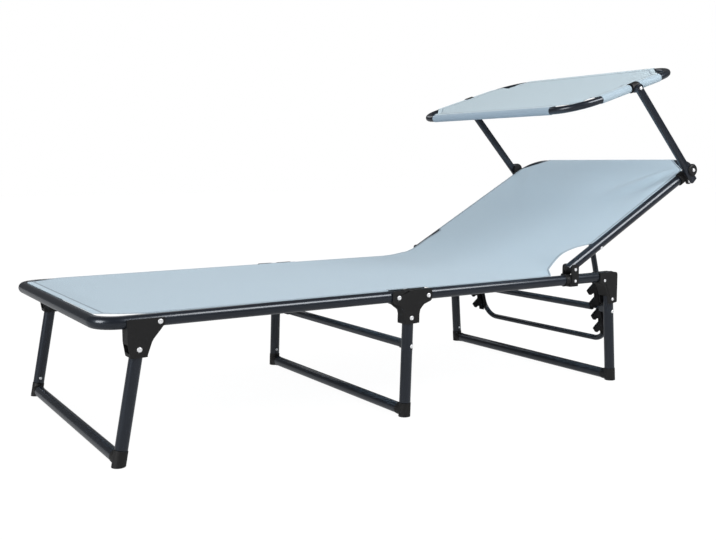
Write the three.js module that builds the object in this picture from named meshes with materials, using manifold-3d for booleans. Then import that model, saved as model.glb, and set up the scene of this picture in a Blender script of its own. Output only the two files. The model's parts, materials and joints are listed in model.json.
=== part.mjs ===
// Folding sun lounger with a tilting backrest and a small canopy over the head end.
// Millimetres, +X towards the head end, +Y towards the far side, +Z up from the floor.

import * as THREE from 'three';
import { mergeVertices } from 'three/addons/utils/BufferGeometryUtils.js';
import Module from 'manifold-3d';

const wasm = await Module();
wasm.setup();

// Driving sizes of the lying frame. X is counted from the top of the middle legs.
const railHeight = 300;
const railSpread = 706.5;
const frameTube = 28;
const frameWall = 1.5;
const footBarX = -759;
const footBend = 65;
const footRailEnd = -22;
const seatRailStart = 32;
const seatRailEnd = 699.5;

// Legs: how far in from the frame's ends their centre lines cross the rails, how far their
// feet splay from there, and how far under the rails they turn.
const frontLegInset = 87.6;
const frontLegSplay = -57.9;
const frontPivotDrop = 57;
const midLegSplay = -12.1;
const midPivotDrop = 54;
const rearLegInset = 15.5;
const rearLegSplay = 20.2;
const rearPivotDrop = 64;
const legOverPivot = 22;
const legFoldAngle = 80;
const footFittingHeight = 34;
const footFittingRadius = 15;
const footFittingReach = 25;
const spigotLength = 26;

// Crossbar behind the middle legs and brace behind the rear legs.
const midBarTube = 22;
const midBarWall = 1.2;
const midBarDrop = 128.5;
const midBarInset = 31.25;
const midBarTab = 5;
const midBarTabWidth = 20;
const braceTube = 20;
const braceFromRack = 13;
const neckRadius = 4.5;
const neckPastRack = 19;
const braceTab = 5;
const braceTabWidth = 18;
const braceTabReach = 22.4;
const braceTabRoot = 26.6;

// Roundings of mouldings and cloth, and the overrun of cuts and joins.
const edgeRounding = 3;
const cornerRounding = 5;
const softRounding = 9;
const sweepRounding = 12;
const overrun = 5;
const joinDepth = 2;

// Moulded brackets.
const bracketWall = 2.35;
const foldPivotDrop = 2;
const footFoldX = -38.5;
const seatFoldX = 48.7;

// Front bracket, from its leg's top and pivot.
const frontBracketFore = 35.6;
const frontBracketAft = 45.4;
const frontBracketRise = 6;
const frontToeDrop = 3;
const frontToeReach = 1;
const frontHaunchReach = 21;
const frontHaunchRise = 17;
const frontTongue = 16;
const frontTongueDrop = 17;

// Middle bracket: two arms over the fold pivots, a stem round the leg, a slot between the rails.
const midArmPastFoot = 18;
const midArmPastSeat = 10.3;
const midTopCover = 1;
const midUnderCover = 2;
const midShoulderDrop = 6;
const midStemLow = -39;
const midStemHigh = 20;
const midStemTaper = 8;
const midStemFlare = 2;
const midStemBelowPivot = 14;
const midSlotLow = -10;
const midSlotHigh = 8;
const midSlotDrop = 17;

// Rear bracket, from the rail's end and its leg's pivot.
const rearBracketLength = 60.9;
const rearBracketCap = 6.5;
const rearBracketRise = 13;
const rearTongue = 14;
const rearTongueCover = 2.4;
const rearTongueDrop = 19;
const rearHaunchReach = 21;
const rearHaunchRise = 18;
const rearHeelReach = 15;
const rearHeelRise = 5;

// Backrest: its pivot beside the seat rail, its angle, and distances along it from the pivot.
const backPivotInset = 158.5;
const backPivotRise = 29;
const backAngle = 28.6;
const backAxisOffset = 5;
const backTubeBelow = 11;
const backLength = 579;
const backBend = 65;

// Hinge bracket, from the backrest's pivot.
const hingeCollarFore = 53;
const hingeCollarAft = 12;
const hingeCollarWall = 2.6;
const knuckleSetBack = 7;
const knuckleGap = 23;
const knuckleRise = 16;
const earFore = 13;
const earRise = 14;
const earRoot = 8;
const earThick = 4.65;

// Bail: the bent rod that carries the toothed racks, hung from the backrest.
const bailTube = 16;
const bailWall = 1.2;
const bailInset = 76.25;
const bailAlongBack = 170.3;
const bailLean = 14.57;
const bailBelowRack = 20.85;
const bailBend = 35;
const bailAbove = 9;

// Racks: where the hook in use sits under the bail's pivot, and the shape of a rack.
const rackSeatDrop = 215.25;
const rackSeatReach = 26.1;
const rackOffset = 2;
const rackThick = 10;
const rackPitch = 38.7;
const rackHooks = 4;
const rackHooksAbove = 1;
const rackSocketWall = 3;
const rackHead = 33;
const rackHeadSlope = 3;
const rackHeadBack = 8;
const rackTail = 16;
const rackTailSlope = 4;
const rackTailBack = 9;
const pocketGap = 0.5;

// Canopy: ring, clips, arms and their bases near the backrest's top.
const canopyTube = 20;
const canopyWall = 1.2;
const canopyHalfLength = 214;
const canopyOutset = 8.75;
const canopyBend = 90;
const canopyTilt = 16.9;
const canopyRingBack = 13;
const canopyRingLift = 4.5;
const clipLength = 26;
const clipWall = 3.6;
const clipBoss = 11;
const armWidth = 20;
const armThick = 12;
const armRounding = 4;
const armOutset = 21.75;
const armFromTop = 60.97;
const armOff = 20.54;
const armLength = 322.44;
const armLean = 45.25;
const armTail = 32;
const armTailShift = 10;
const armTopEye = 11;
const armDisc = 17;
const baseLobe = 9;
const baseLobeBack = 11.8;
const baseLobeDrop = 14.5;
const baseCollarBack = 34;
const baseCollarLength = 24;
const baseCollarWall = 3.6;
const webInset = 1;
const knobThick = 10;
const knobEdge = 3;

// Cloth: its edges lie on the tubes, drawn in beside the brackets.
const fabricThick = 1.5;
const fabricSetIn = 1.25;
const fabricBracketGap = 4.5;
const fabricHingeGap = 10.5;
const neckSpace = 6;
const neckTaper = 18;
const footFabricSetIn = 5;
const footFabricSide = 52;
const footFabricCorner = 70;
const footFabricEnd = -2;
const seatFabricStart = 9;
const seatFabricHingeGap = 19;
const seatFabricTaper = 14;
const seatFabricEndGap = 36;
const backFabricStart = -18;
const backFabricNeckEnd = 76;
const backFabricTaper = 14;
const backFabricCorner = 17;
const canopyCornerCut = 5;
const clipClothGap = 1;
const clipClothNotch = 5;

// Fasteners and clearances.
const pinRadius = 4;
const pinHead = 6.5;
const pinHeadThick = 2;
const pinGap = 0.2;
const seatGap = 0.3;
const boreGap = 0.4;

// How finely curves are cut into flats.
const tubeSides = 16;
const boreSides = 20;
const innerSides = 8;
const smallSides = 12;
const bendSteps = 5;
const cornerSteps = 3;
const weldDistance = 1e-4;

// Derived sizes.
const degree = Math.PI / 180;
const halfSpread = railSpread / 2;
const frameRadius = frameTube / 2;
const boreRadius = frameRadius + boreGap;
const bracketInner = halfSpread - boreRadius - bracketWall;
const bracketOuter = halfSpread + boreRadius + bracketWall;
const channelHalf = frameRadius + boreGap;
const holeRadius = pinRadius + pinGap;
const foldPivotHeight = railHeight - foldPivotDrop;
const backPivotX = seatRailEnd - backPivotInset;
const backPivotHeight = railHeight + backPivotRise;
const fabricBottom = frameRadius + seatGap;
const tubeTop = railHeight + fabricBottom;
const fabricHalfWidth = halfSpread - fabricSetIn;
const fabricNeck = bracketInner - fabricBracketGap;
const hingeNeck = bracketInner - fabricHingeGap;
const ringRadius = canopyTube / 2;
const armInner = halfSpread + armOutset;
const armOuter = armInner + armThick;
const armAlong = backLength - armFromTop;
const canopyHalfWidth = halfSpread + canopyOutset;
const bailRadius = bailTube / 2;
const bailHalf = halfSpread - bailInset;
const rackMiddle = bailHalf + rackOffset;
const rackHooksBelow = rackHooks - rackHooksAbove - 1;
const bailLength = rackSeatDrop + rackHooksBelow * rackPitch + rackTail + bailBelowRack;

// A point beside a pivot, turned with what carries it: [along X, up Z].
function turned([x, z], angle, along, up) {
  return [
    x + along * Math.cos(angle) - up * Math.sin(angle),
    z + along * Math.sin(angle) + up * Math.cos(angle),
  ];
}

const backPivot = [backPivotX, backPivotHeight];
const bailPivot = turned(backPivot, backAngle * degree, bailAlongBack, backAxisOffset);
const armPivot = turned(backPivot, backAngle * degree, armAlong, armOff);
const canopyPivot = turned(armPivot, armLean * degree, 0, armLength);
// The brace's neck lies in the pocket of the hook in use.
const [braceX, braceHeight] = turned(bailPivot, bailLean * degree, -rackSeatReach, -rackSeatDrop);

// Materials, with colours read off the photograph.
const coatedSteel = new THREE.MeshStandardMaterial({ color: 0x24262b, roughness: 0.38, metalness: 0.55 });
const blackPlastic = new THREE.MeshStandardMaterial({ color: 0x17181a, roughness: 0.6, metalness: 0 });
const bareSteel = new THREE.MeshStandardMaterial({ color: 0xc4c7cb, roughness: 0.28, metalness: 1 });
const paleFabric = new THREE.MeshStandardMaterial({ color: 0xb7c9d5, roughness: 0.85, metalness: 0 });

// Solids from geometries and back.
function signedVolume(points, faces) {
  let six = 0;
  for (let i = 0; i < faces.length; i += 3) {
    const [a, b, c] = [0, 1, 2].map((k) => new THREE.Vector3().fromArray(points, 3 * faces[i + k]));
    six += a.dot(b.cross(c));
  }
  return six / 6;
}

// Turned shapes have empty faces where their outline meets the axis.
function realFaces(index) {
  const faces = [];
  for (let i = 0; i < index.length; i += 3) {
    const face = [index[i], index[i + 1], index[i + 2]];
    if (new Set(face).size === 3) faces.push(...face);
  }
  return faces;
}

function solidOf(geometry) {
  const bare = geometry.clone();
  for (const name of Object.keys(bare.attributes)) {
    if (name !== 'position') bare.deleteAttribute(name);
  }
  const merged = mergeVertices(bare, weldDistance);
  const points = merged.attributes.position.array;
  const faces = realFaces(merged.index.array);
  if (signedVolume(points, faces) < 0) faces.reverse();
  return new wasm.Manifold(new wasm.Mesh({
    numProp: 3, vertProperties: Float32Array.from(points), triVerts: Uint32Array.from(faces),
  }));
}

function geometryOf(solid) {
  const mesh = solid.getMesh();
  const geometry = new THREE.BufferGeometry();
  geometry.setAttribute('position', new THREE.BufferAttribute(Float32Array.from(mesh.vertProperties), 3));
  geometry.setIndex(new THREE.BufferAttribute(Uint32Array.from(mesh.triVerts), 1));
  geometry.computeVertexNormals();
  return geometry;
}

const join = (...pieces) => pieces.map(solidOf).reduce((a, b) => a.add(b));
const cut = (solid, ...tools) => tools.reduce((left, tool) => left.subtract(solidOf(tool)), solid);

// The same piece on the near side, where Y is negative.
function nearSide(geometry) {
  const other = geometry.clone().scale(1, -1, 1);
  const index = other.index.array;
  for (let i = 0; i < index.length; i += 3) {
    [index[i], index[i + 1]] = [index[i + 1], index[i]];
  }
  other.computeVertexNormals();
  return other;
}

// Outlines. Each corner is [across, up, rounding].
function roundedOutline(corners) {
  const shape = new THREE.Shape();
  const towards = ([x, z], [u, w], reach) => {
    const length = Math.hypot(u - x, w - z);
    return [x + ((u - x) * reach) / length, z + ((w - z) * reach) / length];
  };
  corners.forEach((corner, i) => {
    const [x, z, rounding = 0] = corner;
    const before = corners[(i + corners.length - 1) % corners.length];
    const after = corners[(i + 1) % corners.length];
    const start = towards(corner, before, rounding);
    if (i) shape.lineTo(...start);
    else shape.moveTo(...start);
    if (rounding) shape.quadraticCurveTo(x, z, ...towards(corner, after, rounding));
  });
  return shape;
}

function ringPoints(radius, sides) {
  return Array.from({ length: sides }, (_, i) => {
    const angle = (i / sides) * 2 * Math.PI;
    return new THREE.Vector2(radius * Math.cos(angle), radius * Math.sin(angle));
  });
}

function pipeSection(radius, wall, sides = tubeSides, inside = innerSides) {
  const section = new THREE.Shape(ringPoints(radius, sides));
  if (wall) section.holes.push(new THREE.Path(ringPoints(radius - wall, inside)));
  return section;
}

// Side-view outline, extruded across the lounger from y = low to y = high.
function acrossPlate(shape, low, high) {
  const plate = new THREE.ExtrudeGeometry(shape, {
    depth: high - low, bevelEnabled: false, curveSegments: cornerSteps,
  });
  return plate.rotateX(Math.PI / 2).translate(0, high, 0);
}

// Plan outline, extruded upwards from z = low by the given thickness.
function flatSheet(shape, low, thick) {
  const sheet = new THREE.ExtrudeGeometry(shape, {
    depth: thick, bevelEnabled: false, curveSegments: cornerSteps,
  });
  return sheet.translate(0, 0, low);
}

function block(x0, x1, y0, y1, z0, z1) {
  return new THREE.BoxGeometry(x1 - x0, y1 - y0, z1 - z0)
    .translate((x0 + x1) / 2, (y0 + y1) / 2, (z0 + z1) / 2);
}

function crossRod(x, z, radius, y0, y1, sides = smallSides) {
  return new THREE.CylinderGeometry(radius, radius, y1 - y0, sides).translate(x, (y0 + y1) / 2, z);
}

function pipe(from, to, section) {
  const start = new THREE.Vector3(...from);
  const along = new THREE.Vector3(...to).sub(start);
  const geometry = new THREE.ExtrudeGeometry(section, {
    depth: along.length(), bevelEnabled: false, curveSegments: cornerSteps,
  });
  const turn = new THREE.Quaternion()
    .setFromUnitVectors(new THREE.Vector3(0, 0, 1), along.normalize());
  return geometry.applyQuaternion(turn).translate(start.x, start.y, start.z);
}

// A path of straight runs with round bends, given as its stations.
class BentPath extends THREE.Curve {
  constructor(corners, bend) {
    super();
    this.stations = [];
    const last = corners.length - 1;
    this.addEnd(corners[0], corners[0], corners[1]);
    for (let i = 1; i < last; i += 1) {
      this.addBend(corners[i - 1], corners[i], corners[i + 1], bend);
    }
    this.addEnd(corners[last], corners[last - 1], corners[last]);
  }

  addEnd(point, from, to) {
    this.stations.push([point.clone(), to.clone().sub(from).normalize()]);
  }

  addBend(before, corner, after, bend) {
    const into = corner.clone().sub(before).normalize();
    const out = after.clone().sub(corner).normalize();
    const turn = into.angleTo(out);
    const reach = bend * Math.tan(turn / 2);
    const side = out.clone().addScaledVector(into, -out.dot(into)).normalize();
    const centre = corner.clone().addScaledVector(into, -reach).addScaledVector(side, bend);
    for (let k = 0; k <= bendSteps; k += 1) {
      const angle = (turn * k) / bendSteps;
      const point = centre.clone().addScaledVector(side, -bend * Math.cos(angle))
        .addScaledVector(into, bend * Math.sin(angle));
      const tangent = into.clone().multiplyScalar(Math.cos(angle))
        .addScaledVector(side, Math.sin(angle));
      this.stations.push([point, tangent]);
    }
  }

  station(u) {
    return this.stations[Math.round(u * (this.stations.length - 1))];
  }

  getPointAt(u) {
    return this.station(u)[0].clone();
  }

  getTangentAt(u) {
    return this.station(u)[1].clone();
  }

  getSpacedPoints() {
    return this.stations.map(([point]) => point.clone());
  }
}

function bentPipe(path, section) {
  return new THREE.ExtrudeGeometry(section, { steps: path.stations.length - 1, extrudePath: path });
}

const at = (x, y, z) => new THREE.Vector3(x, y, z);

// Headed pin along Y at (x, z); both heads stand outside the faces it holds.
function headedPin(x, z, low, high, radius = pinRadius) {
  const rim = pinHead - pinHeadThick;
  const outline = [
    [0, low - pinHeadThick], [rim, low - pinHeadThick], [pinHead, low], [radius, low],
    [radius, high], [pinHead, high], [rim, high + pinHeadThick], [0, high + pinHeadThick],
  ].map(([r, y]) => new THREE.Vector2(r, y));
  return new THREE.LatheGeometry(outline, smallSides).translate(x, 0, z);
}

// The smallest convex outline round a set of side-view points.
function hullOutline(points) {
  const sorted = [...points].sort((a, b) => a[0] - b[0] || a[1] - b[1]);
  const turnsIn = ([a, b], [c, d], [e, f]) => (c - a) * (f - b) - (d - b) * (e - a) <= 0;
  const chain = (list) => {
    const kept = [];
    for (const point of list) {
      while (kept.length > 1 && turnsIn(kept.at(-2), kept.at(-1), point)) kept.pop();
      kept.push(point);
    }
    return kept.slice(0, -1);
  };
  const around = [...chain(sorted), ...chain([...sorted].reverse())];
  return new THREE.Shape(around.map(([x, z]) => new THREE.Vector2(x, z)));
}

// Room between a bracket's cheeks for a tube that folds about (x, z). Angles are those of
// its free end, from +X towards +Z; over is how far its held end stands past the pivot.
function foldRoom({ x, z, from, turn, over, lift = 0 }) {
  const reach = 6 * frameRadius;
  const steps = 3;
  const corners = (start, end, part) => {
    const angle = from + turn * part;
    return [start, end].flatMap((d) => [-channelHalf, channelHalf].map((half) => {
      const side = half + lift * Math.sign(Math.cos(from));
      return [
        x + d * Math.cos(angle) - side * Math.sin(angle),
        z + d * Math.sin(angle) + side * Math.cos(angle),
      ];
    }));
  };
  const heldEnd = Array.from({ length: steps + 1 }, (_, i) => (
    corners(-over / Math.cos(turn / steps / 2), 0, i / steps)
  )).flat();
  const freeEnd = [...corners(0, reach, 0), ...corners(0, reach, 1)];
  return [heldEnd, freeEnd].map((points) => acrossPlate(
    hullOutline(points), halfSpread - channelHalf, halfSpread + channelHalf,
  ));
}

function legRoom(leg, sense) {
  return foldRoom({
    x: leg.pivotX, z: leg.pivotZ, from: -Math.PI / 2 - leg.lean,
    turn: sense * legFoldAngle * degree, over: legOverPivot + seatGap,
  });
}

function railRoom(pivotX, endX, sense) {
  return foldRoom({
    x: pivotX, z: foldPivotHeight, from: sense > 0 ? 0 : Math.PI, turn: (sense * Math.PI) / 2,
    over: Math.abs(endX - pivotX) + seatGap, lift: railHeight - foldPivotHeight,
  });
}

// A leg's centre line, pivot and lean, from its top, its foot's splay and its pivot's drop.
function legLine(topX, splay, pivotDrop) {
  const slope = -splay / railHeight;
  const xAt = (z) => topX + splay + slope * z;
  const pivotZ = railHeight - pivotDrop;
  return { topX, xAt, pivotZ, pivotX: xAt(pivotZ), lean: Math.atan(slope) };
}

const frontLeg = legLine(footBarX + frontLegInset, frontLegSplay, frontPivotDrop);
const midLeg = legLine(0, midLegSplay, midPivotDrop);
const rearLeg = legLine(seatRailEnd - rearLegInset, rearLegSplay, rearPivotDrop);

// A point on the leg's centre line, a distance up from height z.
function onLeg(leg, z, up = 0) {
  return [leg.xAt(z) + up * Math.sin(leg.lean), halfSpread, z + up * Math.cos(leg.lean)];
}

// Foot frame: one bent tube, a saddle bracket under each side, fabric on top.
function footPath() {
  return new BentPath([
    at(footRailEnd, -halfSpread, railHeight), at(footBarX, -halfSpread, railHeight),
    at(footBarX, halfSpread, railHeight), at(footRailEnd, halfSpread, railHeight),
  ], footBend);
}

function footTube() {
  const tube = solidOf(bentPipe(footPath(), pipeSection(frameRadius, frameWall)));
  const hole = crossRod(footFoldX, foldPivotHeight, holeRadius, -2 * halfSpread, 2 * halfSpread);
  return geometryOf(cut(tube, hole));
}

function frontBracket() {
  const { pivotX, pivotZ } = frontLeg;
  const bottom = pivotZ - frameRadius - frontToeDrop;
  const heel = frontLeg.xAt(bottom) - frameRadius - bracketWall;
  const [fore, aft] = [frontLeg.topX - frontBracketFore, frontLeg.topX + frontBracketAft];
  const top = railHeight + frontBracketRise;
  const outline = roundedOutline([
    [fore, top], [fore, pivotZ + frameRadius, edgeRounding], [heel, bottom, edgeRounding],
    [pivotX + frontToeReach, bottom, cornerRounding],
    [pivotX + frontHaunchReach, pivotZ + frontHaunchRise, sweepRounding],
    [aft - frontTongue, railHeight - frontTongueDrop, cornerRounding],
    [aft, railHeight - frameRadius, edgeRounding], [aft, top, edgeRounding],
  ]);
  const body = solidOf(acrossPlate(outline, bracketInner, bracketOuter));
  const bore = bentPipe(footPath(), pipeSection(boreRadius, 0, boreSides));
  const pin = crossRod(pivotX, pivotZ, holeRadius, 0, 2 * halfSpread);
  return geometryOf(cut(body, bore, pin, ...legRoom(frontLeg, 1)));
}

// The bore that lets the rail pass through a bracket, along X.
function crossBore(low, high) {
  return new THREE.CylinderGeometry(boreRadius, boreRadius, high - low, boreSides)
    .rotateZ(Math.PI / 2).translate((low + high) / 2, halfSpread, railHeight);
}

function footFabric() {
  const edge = fabricHalfWidth;
  const foot = footBarX + footFabricSetIn;
  const neck = footFoldX - midArmPastFoot - neckSpace;
  const half = [
    [foot, edge - footFabricSide, cornerRounding], [foot + footFabricCorner, edge, softRounding],
    [neck - neckTaper, edge, sweepRounding], [neck, fabricNeck, softRounding],
    [footFabricEnd, fabricNeck],
  ];
  return flatSheet(roundedOutline(mirrorOutline(half)), tubeTop, fabricThick);
}

// Both halves of a plan outline, from the half with positive Y.
function mirrorOutline(half) {
  return [...half, ...half.map(([x, y, rounding]) => [x, -y, rounding]).reverse()];
}

// Legs: straight tubes with a moulded corner at the floor and a crossbar between the corners.
function legTube(leg) {
  const section = pipeSection(frameRadius, frameWall);
  const top = onLeg(leg, leg.pivotZ, legOverPivot);
  const bottom = onLeg(leg, footFittingHeight, seatGap);
  const hole = crossRod(leg.pivotX, leg.pivotZ, holeRadius, 0, 2 * halfSpread);
  return geometryOf(cut(solidOf(pipe(bottom, top, section)), hole));
}

function footFitting(leg) {
  const solid = (radius) => pipeSection(radius, 0);
  const plug = (frameRadius - frameWall) * Math.cos(Math.PI / innerSides) - seatGap;
  const low = leg.xAt(footFittingRadius);
  const inner = halfSpread - footFittingReach;
  const bar = (radius, y0, y1) => pipe(
    [low, y0, footFittingRadius], [low, y1, footFittingRadius], solid(radius),
  );
  const body = join(
    pipe(onLeg(leg, -footFittingRadius), onLeg(leg, footFittingHeight), solid(footFittingRadius)),
    pipe(onLeg(leg, footFittingRadius), onLeg(leg, footFittingHeight, spigotLength), solid(plug)),
    bar(footFittingRadius, inner, halfSpread),
    bar(plug, inner - spigotLength, halfSpread),
  );
  const floor = block(low - 3 * frameTube, low + 3 * frameTube, 0, 2 * halfSpread, -3 * frameTube, 0);
  return geometryOf(cut(body, floor));
}

function floorBar(leg) {
  const half = halfSpread - footFittingReach - seatGap;
  const x = leg.xAt(footFittingRadius);
  return pipe(
    [x, -half, footFittingRadius], [x, half, footFittingRadius], pipeSection(frameRadius, frameWall),
  );
}

// Bar across the middle legs, behind them, with a flattened tab on each leg.
function midBar() {
  const face = frameRadius + seatGap;
  const section = pipeSection(midBarTube / 2, midBarWall);
  const centre = face + midBarTube / 2;
  const half = halfSpread - midBarInset;
  const tabs = [1, -1].map((side) => {
    const ends = [side * (half - midBarTube), side * (halfSpread + frameRadius)];
    const width = midBarTabWidth / 2;
    return block(face, face + midBarTab, Math.min(...ends), Math.max(...ends), -width, width);
  });
  const bar = join(pipe([centre, -half, 0], [centre, half, 0], section), ...tabs);
  return leanWith(midLeg, railHeight - midBarDrop, geometryOf(bar));
}

// Turn a piece modelled beside an upright leg to lean with that leg.
function leanWith(leg, height, geometry) {
  return geometry.rotateY(leg.lean).translate(leg.xAt(height), 0, height);
}

// Brace across the rear legs: thick between the racks, a thin neck where they hook, tabs on the legs.
function rearBrace() {
  const offset = (braceX - rearLeg.xAt(braceHeight)) * Math.cos(rearLeg.lean);
  const face = frameRadius + seatGap;
  const thickEnd = rackMiddle - braceFromRack;
  const neckEnd = rackMiddle + neckPastRack;
  const pieces = [
    crossRod(offset, 0, braceTube / 2, -thickEnd, thickEnd, tubeSides),
    crossRod(offset, 0, neckRadius, -neckEnd, neckEnd, smallSides),
  ];
  for (const side of [1, -1]) {
    const plan = new THREE.Shape([
      [offset - neckRadius, neckEnd - joinDepth], [offset + neckRadius, neckEnd - joinDepth],
      [face + braceTab, halfSpread - braceTabReach], [face + braceTab, halfSpread + frameRadius],
      [face, halfSpread + frameRadius], [face, halfSpread - braceTabRoot],
    ].map(([x, y]) => new THREE.Vector2(x, side * y)));
    pieces.push(flatSheet(plan, -braceTabWidth / 2, braceTabWidth));
  }
  const beside = braceHeight + offset * Math.sin(rearLeg.lean);
  return leanWith(rearLeg, beside, geometryOf(join(...pieces)));
}

// Middle bracket: both rails and the middle leg fold between its cheeks.
function midBracket() {
  const top = railHeight + frameRadius + midTopCover;
  const under = railHeight - frameRadius - midUnderCover;
  const shoulder = under - midShoulderDrop;
  const bottom = midLeg.pivotZ - midStemBelowPivot;
  const slotFloor = railHeight - midSlotDrop;
  const [low, high] = [footFoldX - midArmPastFoot, seatFoldX + midArmPastSeat];
  const outline = roundedOutline([
    [low, top, cornerRounding], [low, under, softRounding], [midStemLow, shoulder, cornerRounding],
    [midStemLow + midStemTaper, bottom, softRounding], [midStemHigh, bottom, softRounding],
    [midStemHigh + midStemFlare, shoulder, cornerRounding], [high, under, softRounding],
    [high, top, cornerRounding], [midSlotHigh, top, edgeRounding],
    [midSlotHigh, slotFloor, cornerRounding], [midSlotLow, slotFloor, cornerRounding],
    [midSlotLow, top, edgeRounding],
  ]);
  const body = solidOf(acrossPlate(outline, bracketInner, bracketOuter));
  const holes = [
    [footFoldX, foldPivotHeight], [seatFoldX, foldPivotHeight], [midLeg.pivotX, midLeg.pivotZ],
  ].map(([x, z]) => crossRod(x, z, holeRadius, 0, 2 * halfSpread));
  return geometryOf(cut(
    body, ...holes, ...railRoom(footFoldX, footRailEnd, -1),
    ...railRoom(seatFoldX, seatRailStart, 1), ...legRoom(midLeg, 1),
  ));
}

// Seat frame: two straight rails, rear brackets, backrest hinge brackets, fabric.
function seatRail() {
  const rail = pipe(
    [seatRailStart, halfSpread, railHeight], [seatRailEnd, halfSpread, railHeight],
    pipeSection(frameRadius, frameWall),
  );
  const hole = crossRod(seatFoldX, foldPivotHeight, holeRadius, 0, 2 * halfSpread);
  return geometryOf(cut(solidOf(rail), hole));
}

function rearBracket() {
  const { pivotX, pivotZ } = rearLeg;
  const heel = pivotZ - frameRadius;
  const [start, end] = [seatRailEnd - rearBracketLength, seatRailEnd + rearBracketCap];
  const top = railHeight + rearBracketRise;
  const outline = roundedOutline([
    [start, top, edgeRounding], [start, railHeight - frameRadius - rearTongueCover, edgeRounding],
    [start + rearTongue, railHeight - rearTongueDrop, softRounding],
    [pivotX - rearHaunchReach, pivotZ + rearHaunchRise, sweepRounding],
    [pivotX - rearHeelReach, heel, cornerRounding], [end, heel + rearHeelRise, edgeRounding],
    [end, top, softRounding],
  ]);
  const body = solidOf(acrossPlate(outline, bracketInner, bracketOuter));
  const bore = crossBore(start - overrun, seatRailEnd + seatGap);
  const pin = crossRod(pivotX, pivotZ, holeRadius, 0, 2 * halfSpread);
  return geometryOf(cut(body, bore, pin, ...legRoom(rearLeg, -1)));
}

// The backrest's hinge bracket: a collar on the rail, a knuckle before the tube, an ear on each side.
const [collarStart, collarEnd] = [backPivotX - hingeCollarFore, backPivotX + hingeCollarAft];

function hingeBracket() {
  const half = boreRadius + hingeCollarWall;
  const collar = block(
    collarStart, collarEnd, bracketInner, bracketOuter, railHeight - half, railHeight + half,
  );
  const root = railHeight + half - joinDepth;
  const knuckleEnd = backPivotX - knuckleGap;
  const knuckleTop = backPivotHeight + knuckleRise;
  const knuckle = roundedOutline([
    [collarStart + knuckleSetBack, root], [knuckleEnd, root], [knuckleEnd, knuckleTop, edgeRounding],
    [collarStart + knuckleSetBack, knuckleTop, sweepRounding],
  ]);
  const earTop = backPivotHeight + earRise;
  const ear = roundedOutline([
    [backPivotX - earFore, railHeight - earRoot, edgeRounding],
    [collarEnd, railHeight - earRoot, edgeRounding],
    [collarEnd, earTop, softRounding], [backPivotX - earFore, earTop, softRounding],
  ]);
  const earIn = frameRadius + seatGap;
  const [inside, outside] = [halfSpread - earIn, halfSpread + earIn];
  const body = join(
    collar, acrossPlate(knuckle, halfSpread - frameRadius, halfSpread + frameRadius),
    acrossPlate(ear, inside - earThick, inside), acrossPlate(ear, outside, outside + earThick),
  );
  const between = block(
    knuckleEnd, collarEnd + overrun, inside, outside, railHeight, earTop + overrun,
  );
  const bore = crossBore(collarStart - overrun, collarEnd + overrun);
  const pin = crossRod(backPivotX, backPivotHeight, holeRadius, 0, 2 * halfSpread);
  return geometryOf(cut(body, bore, between, pin));
}

function seatFabric() {
  const edge = fabricHalfWidth;
  const neck = seatFoldX + midArmPastSeat + neckSpace;
  const wideEnd = collarStart - seatFabricHingeGap;
  const half = [
    [seatFabricStart, fabricNeck], [neck, fabricNeck, softRounding],
    [neck + neckTaper, edge, sweepRounding], [wideEnd, edge, softRounding],
    [wideEnd + seatFabricTaper, hingeNeck, softRounding], [backPivotX - seatFabricEndGap, hingeNeck],
  ];
  return flatSheet(roundedOutline(mirrorOutline(half)), tubeTop, fabricThick);
}

// Backrest, modelled flat with X along it from the pivot, then turned up to its angle.
const backGroup = new THREE.Group();
backGroup.position.set(backPivotX, 0, backPivotHeight);
backGroup.rotation.y = -backAngle * degree;

function backTube() {
  const path = new BentPath([
    at(-backTubeBelow, -halfSpread, backAxisOffset), at(backLength, -halfSpread, backAxisOffset),
    at(backLength, halfSpread, backAxisOffset), at(-backTubeBelow, halfSpread, backAxisOffset),
  ], backBend);
  const tube = solidOf(bentPipe(path, pipeSection(frameRadius, frameWall)));
  const through = (x, z) => crossRod(x, z, holeRadius, -2 * halfSpread, 2 * halfSpread);
  return geometryOf(cut(tube, through(0, 0), through(bailAlongBack, backAxisOffset)));
}

function backFabric() {
  const edge = fabricHalfWidth;
  const square = edge - backBend - backFabricCorner;
  const half = [
    [backFabricStart, hingeNeck], [backFabricNeckEnd - backFabricTaper, hingeNeck, softRounding],
    [backFabricNeckEnd, edge, softRounding], [backLength - backBend, edge, softRounding],
    [backLength, square],
  ];
  const bottom = backAxisOffset + fabricBottom;
  const sleeve = pipe(
    [backLength, -square, backAxisOffset], [backLength, square, backAxisOffset],
    pipeSection(fabricBottom + fabricThick, fabricThick, tubeSides, tubeSides),
  );
  const roomOverTube = crossRod(
    backLength, backAxisOffset, fabricBottom, -halfSpread, halfSpread, tubeSides,
  );
  const sheet = flatSheet(roundedOutline(mirrorOutline(half)), bottom, fabricThick);
  return geometryOf(cut(join(sheet, sleeve), roomOverTube));
}

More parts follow.
